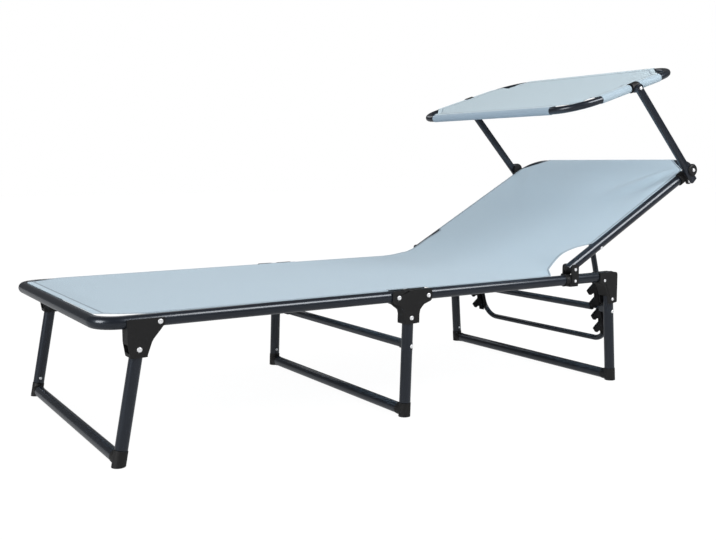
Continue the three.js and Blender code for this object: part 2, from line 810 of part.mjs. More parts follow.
// Base of a canopy arm: a saddle on the outside of the backrest tube with a flat hub plate.
function canopyBase() {
  const plateIn = halfSpread + frameRadius + seatGap;
  const plateOut = armInner - seatGap;
  const [lobeX, lobeZ] = [armAlong - baseLobeBack, backAxisOffset - baseLobeDrop];
  const hub = (x, z, radius) => crossRod(x, z, radius, plateIn, plateOut, boreSides);
  const web = roundedOutline([
    [lobeX - baseLobe + webInset, lobeZ], [lobeX + baseLobe - webInset, lobeZ],
    [armAlong + armDisc - webInset, armOff], [armAlong - armDisc + webInset, armOff],
  ]);
  const start = armAlong - baseCollarBack;
  const end = start + baseCollarLength;
  const saddle = new THREE.CylinderGeometry(
    boreRadius + baseCollarWall, boreRadius + baseCollarWall, end - start, boreSides,
  ).rotateZ(Math.PI / 2).translate((start + end) / 2, halfSpread, backAxisOffset);
  const far = 2 * armDisc;
  const beyond = (low, high) => block(
    start - far, end + far, low, high, backAxisOffset - far, backAxisOffset + far,
  );
  const bore = new THREE.CylinderGeometry(boreRadius, boreRadius, end - start + 2 * far, boreSides)
    .rotateZ(Math.PI / 2).translate((start + end) / 2, halfSpread, backAxisOffset);
  const body = join(
    saddle, hub(armAlong, armOff, armDisc), hub(lobeX, lobeZ, baseLobe),
    acrossPlate(web, plateIn, plateOut),
  );
  const screw = crossRod(armAlong, armOff, holeRadius, 0, 2 * halfSpread);
  const inside = beyond(0, halfSpread + seatGap);
  const outside = beyond(plateOut, plateOut + far);
  return geometryOf(cut(body, inside, outside, bore, screw));
}

// The arm's friction knob, with its bolt ending inside the base plate.
function canopyKnob() {
  const inner = halfSpread + frameRadius + 3 * seatGap;
  const outer = armOuter + seatGap;
  const outline = [
    [0, inner], [pinRadius, inner], [pinRadius, outer], [armDisc, outer],
    [armDisc, outer + knobThick - knobEdge], [armDisc - knobEdge, outer + knobThick], [0, outer + knobThick],
  ].map(([r, y]) => new THREE.Vector2(r, y));
  return new THREE.LatheGeometry(outline, boreSides).translate(armAlong, 0, armOff);
}

// Shoulder bolt that holds the bail clear of the backrest tube.
function bailBolt() {
  const head = pinHead - pinHeadThick;
  const bailInner = bailHalf - bailRadius - seatGap;
  const shoulderIn = bailHalf + bailRadius + seatGap;
  const shoulderOut = halfSpread - frameRadius - seatGap;
  const outerFace = halfSpread + frameRadius + seatGap;
  const outline = [
    [0, bailInner - pinHeadThick], [head, bailInner - pinHeadThick], [pinHead, bailInner],
    [pinRadius, bailInner], [pinRadius, shoulderIn], [bailRadius, shoulderIn],
    [bailRadius, shoulderOut], [pinRadius, shoulderOut], [pinRadius, outerFace],
    [pinHead, outerFace], [head, outerFace + pinHeadThick], [0, outerFace + pinHeadThick],
  ].map(([r, y]) => new THREE.Vector2(r, y));
  return new THREE.LatheGeometry(outline, smallSides).translate(bailAlongBack, 0, backAxisOffset);
}

// Bail, modelled upright and hanging from its pivot, then leaned back.
const bailGroup = new THREE.Group();
bailGroup.position.set(bailPivot[0], 0, bailPivot[1]);
bailGroup.rotation.y = -bailLean * degree;

function bailPath() {
  return new BentPath([
    at(0, -bailHalf, bailAbove), at(0, -bailHalf, -bailLength),
    at(0, bailHalf, -bailLength), at(0, bailHalf, bailAbove),
  ], bailBend);
}

function bailRod() {
  const rod = solidOf(bentPipe(bailPath(), pipeSection(bailRadius, bailWall, smallSides, innerSides)));
  return geometryOf(cut(rod, crossRod(0, 0, holeRadius, -halfSpread, halfSpread)));
}

// One tooth of the rack, as [down, out] from the hooked neck: the hook's tip, the pocket that
// the neck lies in, and the slope out to the next tooth, in shares of the pitch.
const pocketRadius = neckRadius + pocketGap;
const hookShares = [[-0.072, 0.344], [-0.119, 0.22]];
const slopeShares = [[0.0465, -0.176], [0.248, -0.134], [0.4, 0.23], [0.53, 0.491], [0.594, 0.496]];
const pitched = (shares) => shares.map(([down, out]) => [down * rackPitch, out * rackPitch]);
const pocket = [0, 1, 2, 3].map((k) => [
  -pocketRadius * Math.cos((k * Math.PI) / 8), -pocketRadius * Math.sin((k * Math.PI) / 8),
]);
const rackTooth = [...pitched(hookShares), ...pocket, ...pitched(slopeShares)];

// Toothed rack: a row of hooks on a socket that clasps the front of the bail's leg.
function rack() {
  const spine = -rackSeatReach;
  const socketFront = spine + bailRadius + seatGap + rackSocketWall;
  const first = -rackHooksAbove;
  const last = rackHooksBelow;
  const headEnd = first * rackPitch - rackHead;
  const tailEnd = last * rackPitch + rackTail;
  const socketEnd = bailLength - bailBend - rackSeatDrop;
  const edge = [[headEnd, spine + bailRadius], [headEnd + rackHeadSlope, -rackHeadBack]];
  const lead = rackTooth.slice(-3).map(([down, out]) => [down + (first - 1) * rackPitch, out]);
  edge.push(...lead);
  for (let k = first; k <= last; k += 1) {
    const tooth = k === last ? rackTooth.slice(0, -3) : rackTooth;
    edge.push(...tooth.map(([down, out]) => [down + k * rackPitch, out]));
  }
  edge.push([tailEnd - rackTailSlope, -rackTailBack], [tailEnd, spine + bailRadius]);
  const toShape = (points) => new THREE.Shape(points.map(([down, out]) => (
    new THREE.Vector2(-rackSeatReach - out, -rackSeatDrop - down)
  )));
  const socket = [
    [headEnd, spine], [headEnd, socketFront], [socketEnd, socketFront], [socketEnd, spine],
  ];
  const socketHalf = bailRadius + seatGap + rackSocketWall;
  const body = join(
    acrossPlate(toShape(edge), rackMiddle - rackThick / 2, rackMiddle + rackThick / 2),
    acrossPlate(toShape(socket), bailHalf - socketHalf, bailHalf + socketHalf),
  );
  const room = bentPipe(bailPath(), pipeSection(bailRadius + seatGap, 0, boreSides));
  return geometryOf(cut(body, room));
}

// Canopy arms, modelled upright from their lower pivot, then leaned towards the foot end.
const armGroup = new THREE.Group();
armGroup.position.set(armPivot[0], 0, armPivot[1]);
armGroup.rotation.y = -armLean * degree;

function canopyArm() {
  const middle = (armInner + armOuter) / 2;
  const oval = roundedOutline([
    [-armWidth / 2, -armThick / 2, armRounding], [armWidth / 2, -armThick / 2, armRounding],
    [armWidth / 2, armThick / 2, armRounding], [-armWidth / 2, armThick / 2, armRounding],
  ]);
  const body = join(
    pipe([-armTailShift, middle, -armTail], [0, middle, armLength], oval),
    crossRod(0, armLength, armTopEye, armInner, armOuter, tubeSides),
    crossRod(0, 0, armDisc, armInner, armOuter, boreSides),
  );
  const hole = (z) => crossRod(0, z, holeRadius, 0, 2 * armOuter);
  return geometryOf(cut(body, hole(0), hole(armLength)));
}

// Canopy, modelled flat about its side pivots, then tilted.
const canopyGroup = new THREE.Group();
canopyGroup.position.set(canopyPivot[0], 0, canopyPivot[1]);
canopyGroup.rotation.y = -canopyTilt * degree;
const ringFront = -canopyRingBack - canopyHalfLength;
const ringRear = -canopyRingBack + canopyHalfLength;

// One tube whose two ends butt together in the middle of the rear side, inside the sleeve.
function canopyRing() {
  const [z, half, butt] = [canopyRingLift, canopyHalfWidth, seatGap / 2];
  const path = new BentPath([
    at(ringRear, butt, z), at(ringRear, half, z), at(ringFront, half, z),
    at(ringFront, -half, z), at(ringRear, -half, z), at(ringRear, -butt, z),
  ], canopyBend);
  return geometryOf(solidOf(bentPipe(path, pipeSection(ringRadius, canopyWall, tubeSides, innerSides))));
}

// Clip round the canopy's side tube, with the stud that the arm turns on.
function canopyClip() {
  const outer = ringRadius + boreGap + clipWall;
  const face = armInner - seatGap;
  const head = armOuter + seatGap;
  const along = (radius) => new THREE.CylinderGeometry(radius, radius, clipLength, boreSides)
    .rotateZ(Math.PI / 2).translate(0, canopyHalfWidth, canopyRingLift);
  const stud = new THREE.LatheGeometry([
    [0, canopyHalfWidth], [clipBoss, canopyHalfWidth], [clipBoss, face], [pinRadius, face],
    [pinRadius, head], [pinHead, head], [pinHead - pinHeadThick, head + pinHeadThick],
    [0, head + pinHeadThick],
  ].map(([r, y]) => new THREE.Vector2(r, y)), smallSides);
  const reach = 2 * outer;
  const beyond = block(-reach, reach, face, armOuter, -reach, reach);
  const bore = along(ringRadius + boreGap).scale(2, 1, 1);
  const collar = cut(solidOf(along(outer)), beyond);
  return geometryOf(cut(collar.add(solidOf(stud)), bore));
}

function canopyFabric() {
  const side = canopyHalfWidth;
  const square = side - canopyBend - canopyCornerCut;
  const reach = canopyBend + canopyCornerCut;
  const clip = clipLength / 2 + clipClothGap;
  const inside = side - ringRadius - clipWall - clipClothNotch;
  const half = [
    [ringFront, square], [ringFront + reach, side], [-clip, side], [-clip, inside, edgeRounding],
    [clip, inside, edgeRounding], [clip, side], [ringRear - reach, side], [ringRear, square],
  ];
  const inner = ringRadius + seatGap;
  const sleeve = pipeSection(inner + fabricThick, fabricThick, tubeSides, tubeSides);
  const z = canopyRingLift;
  const pieces = [
    flatSheet(roundedOutline(mirrorOutline(half)), z + inner, fabricThick),
    pipe([ringFront, -square, z], [ringFront, square, z], sleeve),
    pipe([ringRear, -square, z], [ringRear, square, z], sleeve),
  ];
  for (const y of [side, -side]) {
    pieces.push(pipe([ringFront + reach, y, z], [-clip, y, z], sleeve));
    pieces.push(pipe([clip, y, z], [ringRear - reach, y, z], sleeve));
  }
  return geometryOf(join(...pieces));
}

// Assembly.
const lounger = new THREE.Group();

function addPiece(group, name, geometry, material) {
  const mesh = new THREE.Mesh(geometry, material);
  mesh.name = name;
  group.add(mesh);
}

function addPair(group, name, geometry, material) {
  const far = geometry.index ? geometry : mergeVertices(geometry);
  addPiece(group, `${name}_right`, far, material);
  addPiece(group, `${name}_left`, nearSide(far), material);
}

// Pins are turned shapes, so they are welded into closed solids like the rest.
const welded = (geometry) => geometryOf(solidOf(geometry));
const bracketPin = (x, z) => welded(
  headedPin(x, z, bracketInner - seatGap, bracketOuter + seatGap),
);

addPiece(lounger, 'foot_tube', footTube(), coatedSteel);
addPair(lounger, 'front_bracket', frontBracket(), blackPlastic);
addPair(lounger, 'front_leg_pin', bracketPin(frontLeg.pivotX, frontLeg.pivotZ), bareSteel);
addPiece(lounger, 'fabric_foot', footFabric(), paleFabric);

for (const [name, leg] of [['front', frontLeg], ['mid', midLeg], ['rear', rearLeg]]) {
  addPair(lounger, `${name}_leg`, legTube(leg), coatedSteel);
  addPair(lounger, `${name}_foot`, footFitting(leg), blackPlastic);
  addPiece(lounger, `${name}_crossbar`, floorBar(leg), coatedSteel);
}
addPiece(lounger, 'mid_upper_bar', midBar(), coatedSteel);
addPiece(lounger, 'rear_brace', rearBrace(), coatedSteel);

addPair(lounger, 'mid_bracket', midBracket(), blackPlastic);
addPair(lounger, 'mid_leg_pin', bracketPin(midLeg.pivotX, midLeg.pivotZ), bareSteel);
addPair(lounger, 'foot_fold_pin', bracketPin(footFoldX, foldPivotHeight), bareSteel);
addPair(lounger, 'seat_fold_pin', bracketPin(seatFoldX, foldPivotHeight), bareSteel);

addPair(lounger, 'seat_rail', seatRail(), coatedSteel);
addPair(lounger, 'rear_bracket', rearBracket(), blackPlastic);
addPair(lounger, 'rear_leg_pin', bracketPin(rearLeg.pivotX, rearLeg.pivotZ), bareSteel);
addPair(lounger, 'hinge_bracket', hingeBracket(), blackPlastic);
addPiece(lounger, 'fabric_seat', seatFabric(), paleFabric);
const earFace = frameRadius + seatGap + earThick + seatGap;
addPair(lounger, 'back_pin', welded(headedPin(
  backPivotX, backPivotHeight, halfSpread - earFace, halfSpread + earFace,
)), bareSteel);

lounger.add(backGroup, bailGroup, armGroup, canopyGroup);
addPiece(backGroup, 'back_tube', backTube(), coatedSteel);
addPiece(backGroup, 'fabric_back', backFabric(), paleFabric);
addPair(backGroup, 'canopy_base', canopyBase(), blackPlastic);
addPair(backGroup, 'canopy_knob', welded(canopyKnob()), blackPlastic);
addPair(backGroup, 'bail_bolt', welded(bailBolt()), bareSteel);

addPiece(bailGroup, 'bail', bailRod(), coatedSteel);
addPair(bailGroup, 'rack', rack(), blackPlastic);

addPair(armGroup, 'canopy_arm', canopyArm(), coatedSteel);

addPiece(canopyGroup, 'canopy_ring', canopyRing(), coatedSteel);
addPair(canopyGroup, 'canopy_clip', canopyClip(), blackPlastic);
addPiece(canopyGroup, 'fabric_canopy', canopyFabric(), paleFabric);

// The origin is the middle of the footprint, on the floor.
lounger.updateMatrixWorld(true);
const bounds = new THREE.Box3().setFromObject(lounger, true);
const middleX = (bounds.min.x + bounds.max.x) / 2;
lounger.position.set(-middleX, 0, -bounds.min.z);
lounger.updateMatrixWorld(true);

export default lounger;
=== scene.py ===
import json
import math

import bpy
import bmesh
from mathutils import Matrix, Vector


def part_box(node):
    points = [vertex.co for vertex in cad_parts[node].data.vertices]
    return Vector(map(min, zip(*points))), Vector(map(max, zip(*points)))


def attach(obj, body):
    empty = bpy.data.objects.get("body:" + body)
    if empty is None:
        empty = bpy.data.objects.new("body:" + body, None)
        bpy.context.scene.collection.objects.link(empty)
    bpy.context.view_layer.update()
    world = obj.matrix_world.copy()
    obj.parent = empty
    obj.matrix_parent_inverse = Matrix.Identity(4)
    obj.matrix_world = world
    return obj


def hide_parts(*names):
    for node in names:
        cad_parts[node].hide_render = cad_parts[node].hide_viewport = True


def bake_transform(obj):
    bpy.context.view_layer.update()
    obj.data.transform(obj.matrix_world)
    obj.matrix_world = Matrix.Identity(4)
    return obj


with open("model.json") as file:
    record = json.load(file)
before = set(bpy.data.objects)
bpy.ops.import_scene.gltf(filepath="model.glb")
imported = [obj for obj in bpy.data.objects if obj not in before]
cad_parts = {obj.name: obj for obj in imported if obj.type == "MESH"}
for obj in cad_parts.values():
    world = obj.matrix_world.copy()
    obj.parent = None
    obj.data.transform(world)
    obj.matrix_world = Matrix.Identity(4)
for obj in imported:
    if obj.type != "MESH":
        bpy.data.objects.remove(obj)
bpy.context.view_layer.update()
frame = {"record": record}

# The drawing's own X is counted from the top of the middle legs, in millimetres.
MIDDLE_X = 144.8346


def at(x, y, z):
    """A point of the drawing, in the frame's metres."""
    return Vector(((x - MIDDLE_X) / 1000, y / 1000, z / 1000))


# Main sizes of the drawing, in millimetres.
RAIL_Z = 300.0
RAIL_Y = 353.25
TUBE_R = 14.0
CLOTH_LIFT = 14.5
BACK_PIVOT = (541.0, 329.0)
BACK_ANGLE = math.radians(28.6)
BACK_AXIS = 5.0
BACK_LENGTH = 579.0
CANOPY_PIVOT = (757.0, 822.0)
CANOPY_TILT = math.radians(16.9)
RING_LIFT = 4.5
RING_FRONT, RING_REAR = -227.0, 201.0
RING_SIDE = 362.0
RING_R = 10.0
RING_BEND = 90.0
ARM_PIVOT = (986.0, 595.0)
FOOT_TUBE_START, FOOT_TUBE_END = -759, -22
SEAT_TUBE_START, SEAT_TUBE_END = 32, 699.5
BACK_TUBE_START = -11
LEG_CORNER_TOP = 34
FLOOR_TUBE_Z = 15
FLOOR_TUBE_HALF = 327.9
# The bail hangs from bolts in the backrest's tube: their place along it, and the rod's own sizes.
BAIL_BOLT = 170.3
BAIL_HALF_WIDTH = 277
BAIL_TOP, BAIL_FOOT = 9, -329.5
BAIL_LEAN = math.radians(14.57)

# Radii of the tubes, and of the bends of their middle lines, in metres.
TUBE_RADIUS = TUBE_R / 1000
RING_RADIUS = RING_R / 1000
BAIL_RADIUS = 0.008
FRAME_BEND = 0.065
FOOT_BEND = 0.050
BAIL_BEND = 0.052

HARD_EDGE = math.radians(35)


def turned(pivot, angle, along, across, up):
    """A point given beside a pivot, in a part that is tilted up by an angle."""
    x = pivot[0] + along * math.cos(angle) - up * math.sin(angle)
    z = pivot[1] + along * math.sin(angle) + up * math.cos(angle)
    return at(x, across, z)


def on_back(along, across, up):
    return turned(BACK_PIVOT, BACK_ANGLE, along, across, up)


def on_canopy(along, across, up):
    return turned(CANOPY_PIVOT, CANOPY_TILT, along, across, up)


# Materials
class Term:
    """A socket in a material's sums; arithmetic on it adds Math nodes."""

    def __init__(self, tree, socket):
        self.tree, self.socket = tree, socket

    def _sum(self, operation, *values):
        node = self.tree.nodes.new("ShaderNodeMath")
        node.operation = operation
        for slot, value in zip(node.inputs, values):
            if isinstance(value, Term):
                self.tree.links.new(value.socket, slot)
            else:
                slot.default_value = value
        return Term(self.tree, node.outputs[0])

    def __add__(self, other):
        return self._sum("ADD", self, other)

    def __sub__(self, other):
        return self._sum("SUBTRACT", self, other)

    def __rsub__(self, other):
        return self._sum("SUBTRACT", other, self)

    def __mul__(self, other):
        return self._sum("MULTIPLY", self, other)

    def __truediv__(self, other):
        return self._sum("DIVIDE", self, other)

    def wave(self):
        return self._sum("SINE", self)

    def size(self):
        return self._sum("ABSOLUTE", self)

    def part(self):
        return self._sum("FRACT", self)

    def above(self, level):
        return self._sum("GREATER_THAN", self, level)

    def least(self, other):
        return self._sum("MINIMUM", self, other)

    def most(self, other):
        return self._sum("MAXIMUM", self, other)

    def clamped(self):
        return self.least(1.0).most(0.0)


class Finish:
    """One material under construction."""

    def __init__(self, name, colour, roughness, **shader):
        self.material = bpy.data.materials.new(name)
        self.material.use_nodes = True
        self.tree = self.material.node_tree
        self.shader = self.tree.nodes["Principled BSDF"]
        self.material.diffuse_color = (*colour, 1)
        self.set(self.shader, {"Base Color": (*colour, 1), "Roughness": roughness, **shader})

    def set(self, node, values):
        for key, value in values.items():
            slot = node.inputs[key]
            if isinstance(value, Term):
                self.tree.links.new(value.socket, slot)
            else:
                slot.default_value = value

    def node(self, kind, settings, values, output=0):
        node = self.tree.nodes.new(kind)
        for key, value in settings.items():
            setattr(node, key, value)
        self.set(node, values)
        return Term(self.tree, node.outputs[output])

    def place(self):
        return self.node("ShaderNodeTexCoord", {}, {}, "Object")

    def cloth_place(self):
        spot = self.node("ShaderNodeUVMap", {"uv_map": "cloth"}, {})
        split = self.tree.nodes.new("ShaderNodeSeparateXYZ")
        self.tree.links.new(spot.socket, split.inputs[0])
        return Term(self.tree, split.outputs[0]), Term(self.tree, split.outputs[1])

    def grain(self, scale, detail=3.0, stretch=(1, 1, 1)):
        spot = self.node("ShaderNodeMapping", {}, {"Vector": self.place(), "Scale": stretch})
        return self.node("ShaderNodeTexNoise", {}, {"Vector": spot, "Scale": scale, "Detail": detail}, "Fac")

    def blend(self, mask, first, second):
        mix = self.tree.nodes.new("ShaderNodeMix")
        mix.data_type = "RGBA"
        for slot, value in ((mix.inputs[0], mask), (mix.inputs[6], first), (mix.inputs[7], second)):
            if isinstance(value, Term):
                self.tree.links.new(value.socket, slot)
            else:
                slot.default_value = (*value, 1)
        return Term(self.tree, mix.outputs[2])

    def bump(self, height, depth):
        normal = self.node("ShaderNodeBump", {}, {"Height": height, "Distance": depth, "Strength": 1.0})
        self.set(self.shader, {"Normal": normal})


def coated_steel_finish():
    """Charcoal powder coat: satin, with a faint orange peel and slightly duller patches."""
    finish = Finish("charcoal_powder_coat", (0.009, 0.010, 0.014), 0.34, **{
        "Coat Weight": 0.8, "Coat Roughness": 0.16, "Coat Tint": (0.86, 0.92, 1.0, 1.0),
        "Specular Tint": (0.82, 0.90, 1.0, 1.0)})
    patches = finish.grain(9.0, 4.0)
    finish.set(finish.shader, {
        "Base Color": finish.blend(patches, (0.0055, 0.007, 0.0105), (0.011, 0.013, 0.0185)),
        "Roughness": patches * 0.14 + 0.27,
    })
    finish.bump(finish.grain(620.0, 2.0), 0.00006)
    return finish.material


def moulded_plastic_finish(name, shine):
    """Matt black moulding with a fine spark-eroded skin."""
    finish = Finish(name, (0.006, 0.006, 0.0065), 0.52, **{"Specular IOR Level": shine})
    patches = finish.grain(14.0, 3.0)
    finish.set(finish.shader, {
        "Base Color": finish.blend(patches, (0.0045, 0.0045, 0.005), (0.009, 0.009, 0.010)),
        "Roughness": patches * 0.16 + 0.44,
    })
    finish.bump(finish.grain(1500.0, 2.0), 0.00008)
    return finish.material


def rivet_finish():
    """Plated steel rivets and screws, a little dulled."""
    finish = Finish("plated_rivet", (0.80, 0.81, 0.83), 0.3, **{"Metallic": 0.45})
    patches = finish.grain(240.0, 3.0)
    finish.set(finish.shader, {"Roughness": patches * 0.25 + 0.2})
    finish.bump(finish.grain(900.0, 2.0), 0.00003)
    return finish.material


# Sizes of the cloth's weave and seam, in metres, and its darker and lighter colours; the seam's dark colour
# is painted shade where the hem folds over.
YARN_PITCH = 0.0016
SEAM_HALF_WIDTH = 0.0034
STITCH_PITCH = 0.0045
SEAM_SHADE_COLOUR = (0.12, 0.165, 0.215)
STITCH_COLOUR = (0.55, 0.64, 0.70)
# Painted shade for the canopy's sleeves, darker than the sheet's own cloth.
SLEEVE_SHADE_COLOUR = (0.22, 0.30, 0.385)


def cloth_finish(name, seam_gap, tint):
    """Coated mesh cloth: square weave, lighter folded hem, a stitched seam along it drawn with painted
    shade, and painted shade on the canopy's sleeves.
    """
    pale, deep, hem = (tuple(part * share for part, share in zip(colour, tint)) for colour in (
        (0.395, 0.50, 0.575), (0.365, 0.465, 0.54), (0.435, 0.545, 0.62)))
    finish = Finish(name, pale, 0.72, **{"Sheen Weight": 0.12, "Sheen Roughness": 0.5})
    across, along = finish.cloth_place()
    edge = finish.node("ShaderNodeAttribute", {"attribute_name": "edge"}, {}, "Fac")
    yarn = 2 * math.pi / YARN_PITCH
    weave = (across * yarn).wave() * (along * yarn).wave()
    slub = finish.grain(1.0, 2.0, (900, 60, 900)) * 0.5 + finish.grain(1.0, 2.0, (60, 900, 60)) * 0.5
    cloudy = finish.grain(3.5, 3.0)
    seam = ((SEAM_HALF_WIDTH - (edge - seam_gap).size()) / 0.0014).clamped()
    stitch = seam * ((across + along) / STITCH_PITCH).part().above(0.3)
    doubled = 1 - ((edge - seam_gap + 0.0008) / 0.0012).clamped()
    body = finish.blend((slub * 0.6 + cloudy * 0.4).clamped(), deep, pale)
    body = finish.blend(doubled * 0.55, body, hem)
    # The stitched seam is drawn as a dark line of painted shade where the hem folds over, besides its groove
    # in the bump.
    body = finish.blend(seam * 0.75, body, SEAM_SHADE_COLOUR)
    body = finish.blend(stitch * 0.12, body, STITCH_COLOUR)
    # Painted shade on the canopy's sleeves: their 'sleeve' attribute blends the cloth towards the dark
    # sleeve colour.
    sleeve_painted_shade = finish.node("ShaderNodeAttribute", {"attribute_name": "sleeve"}, {}, "Fac")
    body = finish.blend(sleeve_painted_shade * 0.78, body, SLEEVE_SHADE_COLOUR)
    finish.set(finish.shader, {"Base Color": body, "Roughness": cloudy * 0.12 + 0.66})
    finish.bump(weave * 0.35 + slub * 0.3 + doubled * 1.2 - seam * 1.4, 0.00045)
    return finish.material


steel = coated_steel_finish()
moulding = moulded_plastic_finish("black_moulding", 0.5)
# A shaded copy of the moulding for the racks: its lower specular level stands in for the shade they sit in
# under the bed.
shaded_rack_moulding = moulded_plastic_finish("shaded_black_rack_moulding", 0.12)
plated = rivet_finish()
bed_cloth_finish = cloth_finish("bed_cloth", 0.018, (0.97, 0.98, 0.99))
canopy_cloth_finish = cloth_finish("canopy_cloth", 0.026, (0.93, 0.925, 0.895))


# Modelling
def nothing_selected():
    if bpy.context.object and bpy.context.object.mode != "OBJECT":
        bpy.ops.object.mode_set(mode="OBJECT")
    bpy.ops.object.select_all(action="DESELECT")


def editing(piece):
    nothing_selected()
    piece.select_set(True)
    bpy.context.view_layer.objects.active = piece
    bpy.ops.object.mode_set(mode="EDIT")


def settled(name, material, smooth=35.0):
    """Close the edit: name the piece, put its place in its mesh and shade it."""
    bpy.ops.object.mode_set(mode="OBJECT")
    piece = bpy.context.object
    piece.name = piece.data.name = name
    bpy.ops.object.transform_apply(location=True, rotation=True, scale=True)
    bpy.ops.object.shade_smooth_by_angle(angle=math.radians(smooth))
    piece.data.materials.clear()
    piece.data.materials.append(material)
    return piece


def eased(piece, width):
    """Round a piece's hard edges."""
    bevel = piece.modifiers.new("eased_edges", "BEVEL")
    bevel.width, bevel.segments = width, 2
    bevel.limit_method, bevel.angle_limit = "ANGLE", HARD_EDGE
    bevel.harden_normals = False
    bpy.context.view_layer.objects.active = piece
    bpy.ops.object.modifier_apply(modifier=bevel.name)
    return piece


def slide_on(step):
    bpy.ops.mesh.extrude_region_move(TRANSFORM_OT_translate={"value": step})


def bent_tube(name, corners, radius, bend, sides=36, bend_steps=16):
    """A tube: a disc drawn along its runs and spun round its bends."""
    way = (corners[1] - corners[0]).normalized()
    nothing_selected()
    bpy.ops.mesh.primitive_circle_add(
        vertices=sides, radius=radius, fill_type="NGON", location=corners[0],
        rotation=way.to_track_quat("Z", "Y").to_euler())
    bpy.ops.object.mode_set(mode="EDIT")
    bpy.ops.mesh.select_all(action="SELECT")
    here = corners[0]
    for before, corner, after in zip(corners, corners[1:], corners[2:]):
        into, out = (corner - before).normalized(), (after - corner).normalized()
        turn = into.angle(out)
        reach = bend * math.tan(turn / 2)
        side = (out - into * out.dot(into)).normalized()
        stop = corner - into * reach
        slide_on(stop - here)
        bpy.ops.mesh.spin(steps=bend_steps, angle=-turn, center=stop + side * bend, axis=into.cross(side))
        here = corner + out * reach
    slide_on(corners[-1] - here)
    bpy.ops.mesh.select_all(action="SELECT")
    bpy.ops.mesh.remove_doubles(threshold=0.00001)
    bpy.ops.mesh.normals_make_consistent(inside=False)
    return eased(settled(name, steel), 0.0008)


def finished_copy(node, name, material, width, shaping=None):
    """A CAD solid with its facets joined up, shaped further where needed, and its edges rounded."""
    source = bpy.data.objects[node]
    piece = source.copy()
    piece.data = source.data.copy()
    piece.parent = None
    for key in list(piece.keys()):
        del piece[key]
    bpy.context.scene.collection.objects.link(piece)
    editing(piece)
    bpy.ops.mesh.select_all(action="SELECT")
    bpy.ops.mesh.remove_doubles(threshold=0.00002)
    bpy.ops.mesh.dissolve_limited(angle_limit=math.radians(2))
    piece = settled(name, material, 40)
    if shaping:
        shaping(piece)
        bpy.ops.object.mode_set(mode="OBJECT")
    eased(piece, width)
    bpy.ops.object.shade_smooth_by_angle(angle=math.radians(40))
    return piece


def turned_piece(name, base, axis, stations, material=None, sides=24):
    """A turned shape: a disc drawn along its axis through (distance, radius) stations in millimetres."""
    (start, width), *rest = stations
    nothing_selected()
    bpy.ops.mesh.primitive_circle_add(
        vertices=sides, radius=width / 1000, fill_type="NGON", location=base + axis * start / 1000,
        rotation=axis.to_track_quat("Z", "Y").to_euler())
    bpy.ops.object.mode_set(mode="EDIT")
    bpy.ops.mesh.select_all(action="SELECT")
    for distance, radius in rest:
        slide_on(axis * (distance - start) / 1000)
        bpy.ops.transform.resize(value=(radius / width,) * 3, center_override=base + axis * distance / 1000)
        start, width = distance, radius
    bpy.ops.mesh.select_all(action="SELECT")
    bpy.ops.mesh.normals_make_consistent(inside=False)
    return settled(name, material or plated, 40)


# A dimpled rivet head, from its face inwards: (height over the work, radius).
HEAD = [(1.5, 0.9), (2.1, 1.6), (2.3, 2.2), (2.1, 3.6), (1.5, 4.8), (0.7, 5.5), (0.0, 5.7)]


def rivet(node, name, grip, scale=1.0):
    """A rivet through a joint: a dimpled head on each face of the work and a shank between."""
    low, high = (Vector(corner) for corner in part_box(node))
    near = [(-grip - rise * scale, radius * scale) for rise, radius in HEAD]
    far = [(grip + rise * scale, radius * scale) for rise, radius in reversed(HEAD)]
    stations = near + [(-grip, 3.9), (grip, 3.9)] + far
    return turned_piece(name, (low + high) / 2, Vector((0, 1, 0)), stations)


def head(name, centre, outward, scale=1.0):
    """A rivet or screw head alone, sitting on a surface."""
    stations = [(rise * scale, radius * scale) for rise, radius in reversed(HEAD)]
    return turned_piece(name, centre, outward, [(-1.0, stations[0][1])] + stations)


def picked(piece, test):
    """Select the points of the piece in edit mode that pass a test in the drawing's millimetres."""
    editing(piece)
    bpy.ops.mesh.select_mode(type="VERT")
    bpy.ops.mesh.select_all(action="DESELECT")
    shape = bmesh.from_edit_mesh(piece.data)
    for vertex in shape.verts:
        x, y, z = vertex.co * 1000
        vertex.select = test(x + MIDDLE_X, abs(y), z)
    shape.select_flush_mode()
    bmesh.update_edit_mesh(piece.data)


def squared(piece, test, x, pull):
    """Draw the picked points towards one x, in millimetres; pull is the share of the spread that stays."""
    picked(piece, test)
    bpy.ops.transform.resize(value=(pull, 1, 1), center_override=at(x, 0, 0))


def moved(piece, test, x, z):
    picked(piece, test)
    bpy.ops.transform.translate(value=(x / 1000, 0, z / 1000))


def hex_nut(name, centre, outward, radius, height):
    nothing_selected()
    bpy.ops.mesh.primitive_circle_add(
        vertices=6, radius=radius, fill_type="NGON", location=centre,
        rotation=outward.to_track_quat("Z", "Y").to_euler())
    bpy.ops.object.mode_set(mode="EDIT")
    bpy.ops.mesh.select_all(action="SELECT")
    slide_on(outward * height)
    bpy.ops.mesh.inset(thickness=radius * 0.35)
    slide_on(outward * height * 0.3)
    bpy.ops.mesh.select_all(action="SELECT")
    bpy.ops.mesh.normals_make_consistent(inside=False)
    return eased(settled(name, plated, 30), 0.0004)


bodies = frame["record"]["behaviour"]["bodies"]
body_of_node = {node: body for body, nodes in bodies.items() for node in nodes}


def takes_place(piece, *nodes):
    """The piece stands for CAD solids and moves with them."""
    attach(piece, body_of_node[nodes[0]])
    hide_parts(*nodes)


